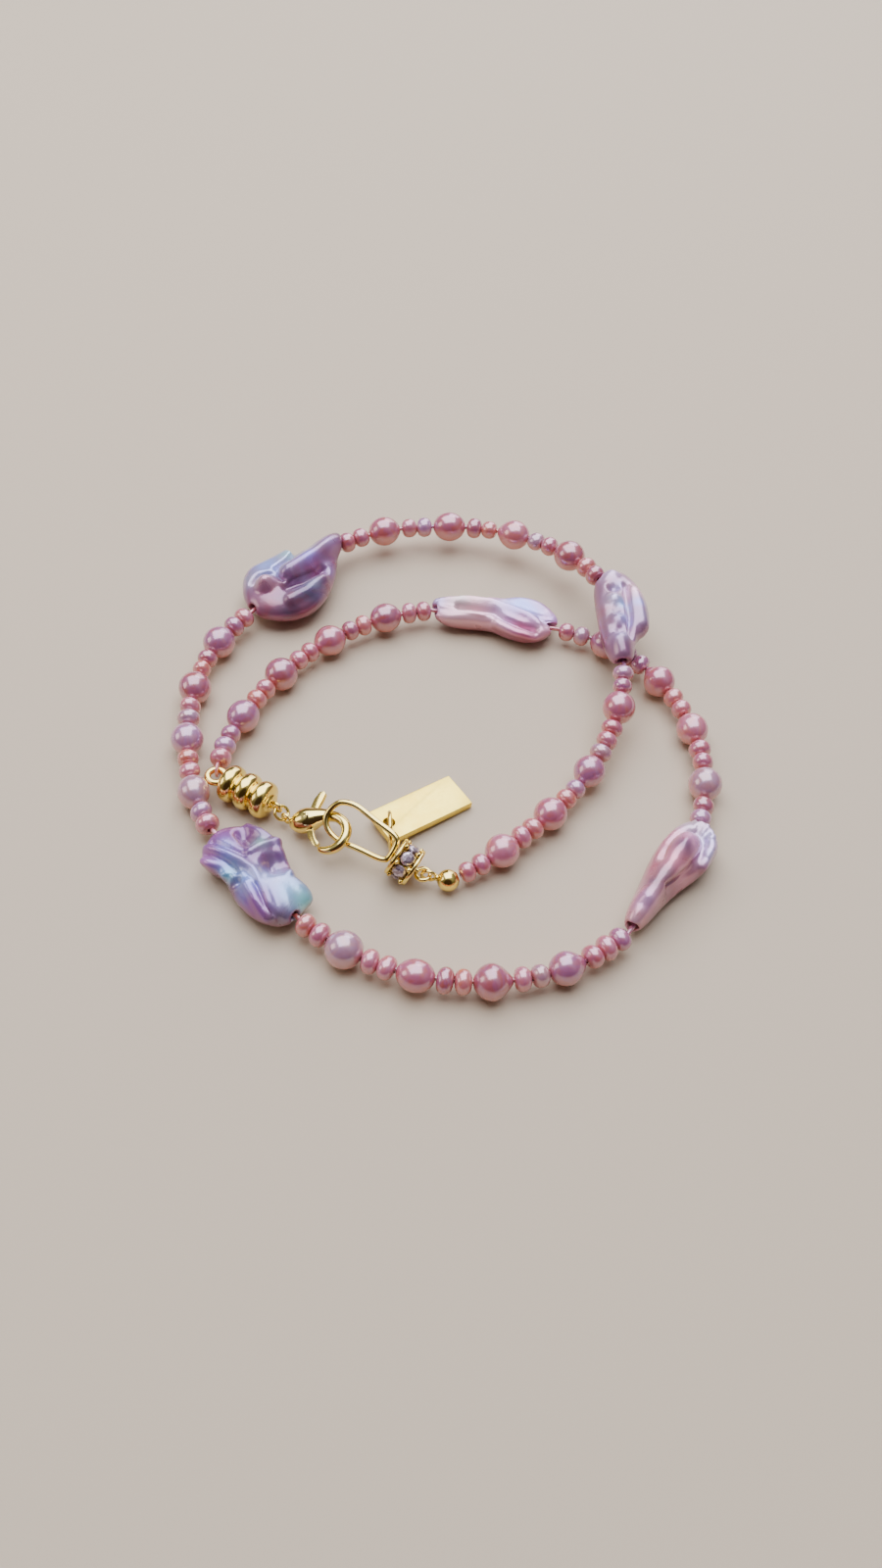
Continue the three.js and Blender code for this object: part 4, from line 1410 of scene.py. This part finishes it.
@dataclass
class Rondelle:
    """The rondelle: a spool with two flanges and cut stones set all round between them.

    Each row of a stone's crown is how far it rises, how much it narrows and how far it turns in degrees.
    """

    gold: Material
    stone: Material
    centre: Vector = Vector((-3.46, -21.37, 2.7))
    direction: Vector = Vector((0.867, -0.39, -0.311))
    half: float = 1.45
    radius: float = 2.35
    core: float = 1.5
    bore: float = 0.5
    flange: float = 0.5
    stones: int = 6
    stone_radius: float = 0.84
    stone_sides: int = 12
    seat: float = 1.62
    crown: tuple[Point, ...] = ((0.22, 1, 0), (0.22, 0.8, 15), (0.13, 0.66, 0))
    prong: float = 0.32
    prong_place: Row = (2.17, 0.82)

    def build(self) -> Object:
        """Turns the spool, sets the stones and their prongs.

        Returns:
            The rondelle.
        """
        edge = self.half - self.flange
        rows = [
            (-self.half + 0.5, self.bore),
            (-self.half + 0.05, self.bore),
            (-self.half, self.bore + 0.1),
            (-self.half, self.radius - 0.35),
            (-self.half + 0.04, self.radius - 0.12),
            (-self.half + 0.13, self.radius),
            (-edge - 0.1, self.radius),
            (-edge - 0.02, self.radius - 0.1),
            (-edge, self.radius - 0.25),
            (-edge + 0.05, self.core),
        ]
        rows += [(-height, radius) for height, radius in reversed(rows)]
        spool = turned("gold_rondelle", rows, 36)
        spool.data.materials.append(self.gold)
        spool.data.materials.append(self.stone)
        parts = []
        for k in range(self.stones):
            turn = Matrix.Rotation(2 * math.pi * (k + 0.25) / self.stones, 4, "Z")
            parts.append(lay(self.cut_stone(f"stone_{k}"), turn))
            out, along = self.prong_place
            for side in (-1, 1):
                bead = start(
                    bpy.ops.mesh.primitive_ico_sphere_add,
                    f"prong_{k}_{side}",
                    subdivisions=3,
                    radius=self.prong * MM,
                    location=(out * MM, 0, side * along * MM),
                )
                with editing(freeze(bead)):
                    pick(bead, lambda co: co.x > (self.radius - 0.1) * MM)
                    bpy.ops.transform.resize(value=(1, 0.8, 0.8))
                bead.data.materials.append(self.gold)
                half_turn = Matrix.Rotation(2 * math.pi * (k + 0.75) / self.stones, 4, "Z")
                parts.append(smooth(lay(bead, half_turn)))
        smooth(spool, 40)
        take(spool)
        for part in parts:
            part.select_set(True)
        bpy.context.view_layer.objects.active = spool
        bpy.ops.object.join()
        lay(spool, seated(self.centre, self.direction))
        return dress(spool, self.gold, "bracelet", "set_rondelle", "rondelle")

    def cut_stone(self, name: str) -> Object:
        """Cuts one round stone: girdle, crown facets and table, out along the x axis.

        Args:
            name: The object's name.

        Returns:
            The stone in the spool's frame.
        """
        first = {"vertices": self.stone_sides, "radius": self.stone_radius * MM}
        stone = start(bpy.ops.mesh.primitive_circle_add, name, fill_type="NGON", **first)
        with editing(stone, "FACE"):
            bpy.ops.mesh.select_all(action="SELECT")
            height = 0.0
            for rise, narrow, twist in self.crown:
                height += rise * MM
                middle = (0, 0, height)
                bpy.ops.mesh.extrude_region_move(TRANSFORM_OT_translate={"value": (0, 0, rise * MM)})
                bpy.ops.transform.resize(value=(narrow, narrow, 1), center_override=middle)
                bpy.ops.transform.rotate(value=math.radians(twist), orient_axis="Z", center_override=middle)
        facing_out(stone)
        stone.data.materials.append(self.stone)
        return lay(stone, Matrix.Translation((self.seat * MM, 0, 0)) @ Matrix.Rotation(math.pi / 2, 4, "Y"))


@dataclass
class EndBall:
    """The gold ball at the string's end, with an eye in the loop pin's eye."""

    gold: Material
    centre: Vector = Vector((1.6, -22.7, 1.6))
    radius: float = 1.3
    hole: float = 0.5
    neck: tuple[Row, ...] = ((-0.02, 0.4), (0.12, 0.38), (0.25, 0.34))
    eye: Row = (0.8, 0.2)
    eye_gap: float = 0.2
    drill_reach: Row = (-0.3, 2)

    def build(self, pin_eye: Vector, string_end: Vector) -> Object:
        """Makes the ball, its neck and its eye, and drills it for the thread.

        Args:
            pin_eye: The centre of the loop pin's eye.
            string_end: Where the string enters.

        Returns:
            The ball.
        """
        out = (pin_eye - self.centre).normalized()
        angles = [math.radians(degrees) for degrees in range(-84, 73, 12)]
        rows = [(self.radius * math.sin(angle), self.radius * math.cos(angle)) for angle in angles]
        rows += [(self.radius + rise, radius) for rise, radius in self.neck]
        ball = lay(turned("gold_end_ball", rows, 32), seated(self.centre, out))
        eye_at = self.centre + out * (self.radius + self.eye[0] + self.eye_gap)
        unite(ball, ring("ball_eye", self.eye, eye_at, out.cross(UP), 180))
        into = (string_end - self.centre).normalized()
        bore = [self.centre + SETTLE + reach * into for reach in self.drill_reach]
        drill = wire("drill", bore, [self.hole] * 2)
        unite(ball, drill, operation="DIFFERENCE")
        smooth(ball, 50)
        return dress(ball, self.gold, "bracelet", "gold", "end_ball")


@dataclass
class HangTag:
    """The plain rectangular tag and the ring that it hangs on."""

    gold: Material
    face: Material
    end: Vector = Vector((-6.85, -16, 1.45))
    direction: Vector = Vector((0.789, 0.614, -0.075))
    length: float = 11.7
    width: float = 5.0
    thick: float = 0.9
    hole: float = 0.7
    inset: float = 1.35
    edge: float = 0.07
    ring_size: Row = (2.15, 0.24)
    ring_centre: Vector = Vector((-5.55, -16.95, 2.5))
    ring_normal: Vector = Vector((0.99, 0.12, 0))

    def build(self) -> None:
        """Stamps the tag, drills and breaks its edges, and bends its ring."""
        tag = start(bpy.ops.mesh.primitive_cube_add, "gold_tag", size=1)
        tag.dimensions = (self.thick * MM, self.width * MM, self.length * MM)
        tag.location = (0, 0, self.length / 2 * MM)
        freeze(tag)
        drill = turned("drill", [(-1, self.hole), (1, self.hole)], 32, rounds=0)
        lay(drill, Matrix.Translation((0, 0, self.inset * MM)) @ Matrix.Rotation(math.pi / 2, 4, "Y"))
        unite(tag, drill, operation="DIFFERENCE")
        break_edges(tag, self.edge)
        lay(tag, seated(self.end, self.direction))
        smooth(tag, 35)
        dress(tag, self.face, "bracelet", "gold", "tag")
        hoop = ring("gold_tag_ring", self.ring_size, self.ring_centre, self.ring_normal, 60)
        smooth(hoop)
        dress(hoop, self.gold, "bracelet", "gold", "tag_ring")


@dataclass(frozen=True)
class Softbox:
    """A square soft light: its place and size in metres, its power in watts and its colour."""

    name: str
    place: Point
    size: float
    watts: float
    colour: str

    def hang(self) -> None:
        """Hangs the light, turned to the bracelet."""
        bpy.ops.object.light_add(type="AREA", location=self.place)
        light = bpy.context.active_object
        light.name = self.name
        light.data.size = self.size
        light.data.energy = self.watts
        light.data.color = linear(self.colour)[:3]
        light.rotation_mode = "QUATERNION"
        light.rotation_quaternion = (-Vector(self.place)).to_track_quat("-Z", "Y")


SOFTBOXES = (
    Softbox("overhead", (-0.05, 0.2, 0.55), 0.74, 9.6, "f2f2ff"),
    Softbox("left_fill", (-0.6, -0.05, 0.3), 0.3, 1.0, "fff1e2"),
    Softbox("back_rim", (0.2, 0.75, 0.35), 0.5, 3.2, "f4f0ff"),
)


@dataclass
class Studio:
    """The floor, the soft lights and the camera, which is placed in millimetres and degrees."""

    image: tuple[int, int] = (900, 1600)
    focal_px: float = 4000 / 3
    sensor: float = 36.0
    eye: Vector = Vector((0, -107.3, 125))
    pitch: float = 51.38
    roll: float = 4.10
    clip_m: Row = (0.005, 20)
    floor_m: float = 6
    sky: tuple[tuple[float, str], ...] = (
        (0.0, "786a62"), (0.35, "847c7a"), (0.75, "c4c4cc"), (1.0, "f4f4fa"),
    )
    dark: str = "3c2c2a"
    dark_way: Point = (0.0, -0.88, 0.475)
    dark_span: Row = (0.6, 0.86)
    dark_share: float = 0.97
    strength: float = 0.75

    def build(self) -> None:
        """Sets everything up."""
        self.camera()
        self.floor()
        for softbox in SOFTBOXES:
            softbox.hang()
        self.room()

    def camera(self) -> None:
        """Places the camera as the photograph was taken."""
        place = (self.eye + SETTLE) * MM
        bpy.ops.object.camera_add(location=place)
        camera = bpy.context.active_object
        camera.data.sensor_width = self.sensor
        camera.data.lens = self.focal_px / max(self.image) * self.sensor
        camera.data.clip_start, camera.data.clip_end = self.clip_m
        pitch, roll = math.radians(self.pitch), math.radians(self.roll)
        forward = Vector((0, math.cos(pitch), -math.sin(pitch)))
        right = Vector((1, 0, 0))
        above = right.cross(forward)
        turned_right = math.cos(roll) * right + math.sin(roll) * above
        turned_above = -math.sin(roll) * right + math.cos(roll) * above
        turn = Matrix((turned_right, turned_above, -forward)).transposed().to_4x4()
        camera.matrix_world = Matrix.Translation(place) @ turn
        bpy.context.scene.camera = camera

    def floor(self) -> None:
        """Lays the plain floor."""
        floor = start(bpy.ops.mesh.primitive_plane_add, "floor", size=self.floor_m)
        floor.data.materials.append(PlainFloor().material())

    def room(self) -> None:
        """Lights the room from above, with a dark front that pearls mirror and the camera doesn't see."""
        world = bpy.data.worlds.new("studio")
        bpy.context.scene.world = world
        world.use_nodes = True
        tree = world.node_tree
        way = add(tree, "TexCoord").outputs["Generated"]
        height = add(tree, "SeparateXYZ", {0: way}).outputs["Z"]
        sky = add(tree, "ValToRGB", {"Fac": height}, ramp=self.sky).outputs["Color"]
        front = add(tree, "VectorMath", {0: way, 1: self.dark_way}, operation="DOT_PRODUCT")
        from_min, from_max = self.dark_span
        span = {"From Min": from_min, "From Max": from_max, "To Min": 0.0, "To Max": self.dark_share}
        shade = add(
            tree, "MapRange", {"Value": front.outputs["Value"], **span}, interpolation_type="SMOOTHSTEP"
        ).outputs["Result"]
        seen = add(tree, "LightPath").outputs["Is Camera Ray"]
        unseen = add(tree, "Math", {0: shade, 1: seen}, operation="SUBTRACT", use_clamp=True).outputs[0]
        room = add(tree, "Mix", {0: unseen, 6: sky, 7: linear(self.dark)}, data_type="RGBA").outputs[2]
        background = tree.nodes["Background"]
        tree.links.new(room, background.inputs["Color"])
        background.inputs["Strength"].default_value = self.strength


def main() -> None:
    """Builds the bracelet piece by piece and reports each one."""
    logging.basicConfig(level=logging.INFO, format="%(message)s")
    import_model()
    Studio().build()
    gold = GoldPlate().material()
    brushed = GoldPlate(name="brushed_gold_plate", pale="f7df68", deep="f2d454", roughness=0.34)
    tube = RibbedTube(gold)
    clasp = LobsterClasp(gold)
    tube.build(clasp.chain_side(tube.chain_eye_centre()))
    clasp.build(tube.chain_eye_centre())
    rondelle = Rondelle(gold, CutStone().material())
    loop = LoopPin(gold)
    rondelle.build()
    loop.build(rondelle)
    string = PearlString()
    thread = string.thread
    EndBall(gold).build(loop.eye_centre(rondelle), thread.line[-1])
    HangTag(gold, brushed.material()).build()
    nacre = BEAD_NACRE.material()
    string.drops(nacre)
    middle = (thread.ends[2] + thread.starts[3]) / 2
    heading = (thread.line[0] - tube.end_eye_centre()).normalized()
    loop_at = tube.end_eye_centre() + tube.end_eye[0] * heading
    thread_eye = ring("thread_eye", string.end_loop, loop_at, heading.cross(UP))
    inner, outer = (0, middle - string.parting), (middle + string.parting, thread.reach[-1])
    string.strand("pearl_strand_inner", "strand_inner", inner, [thread_eye], nacre)
    string.strand("pearl_strand_outer", "strand_outer", outer, [], nacre)
    keshi_nacre = KESHI_GLOSS.material()
    for pearl in KESHI:
        pearl.grow(thread, keshi_nacre)


if __name__ == "__main__":
    main()
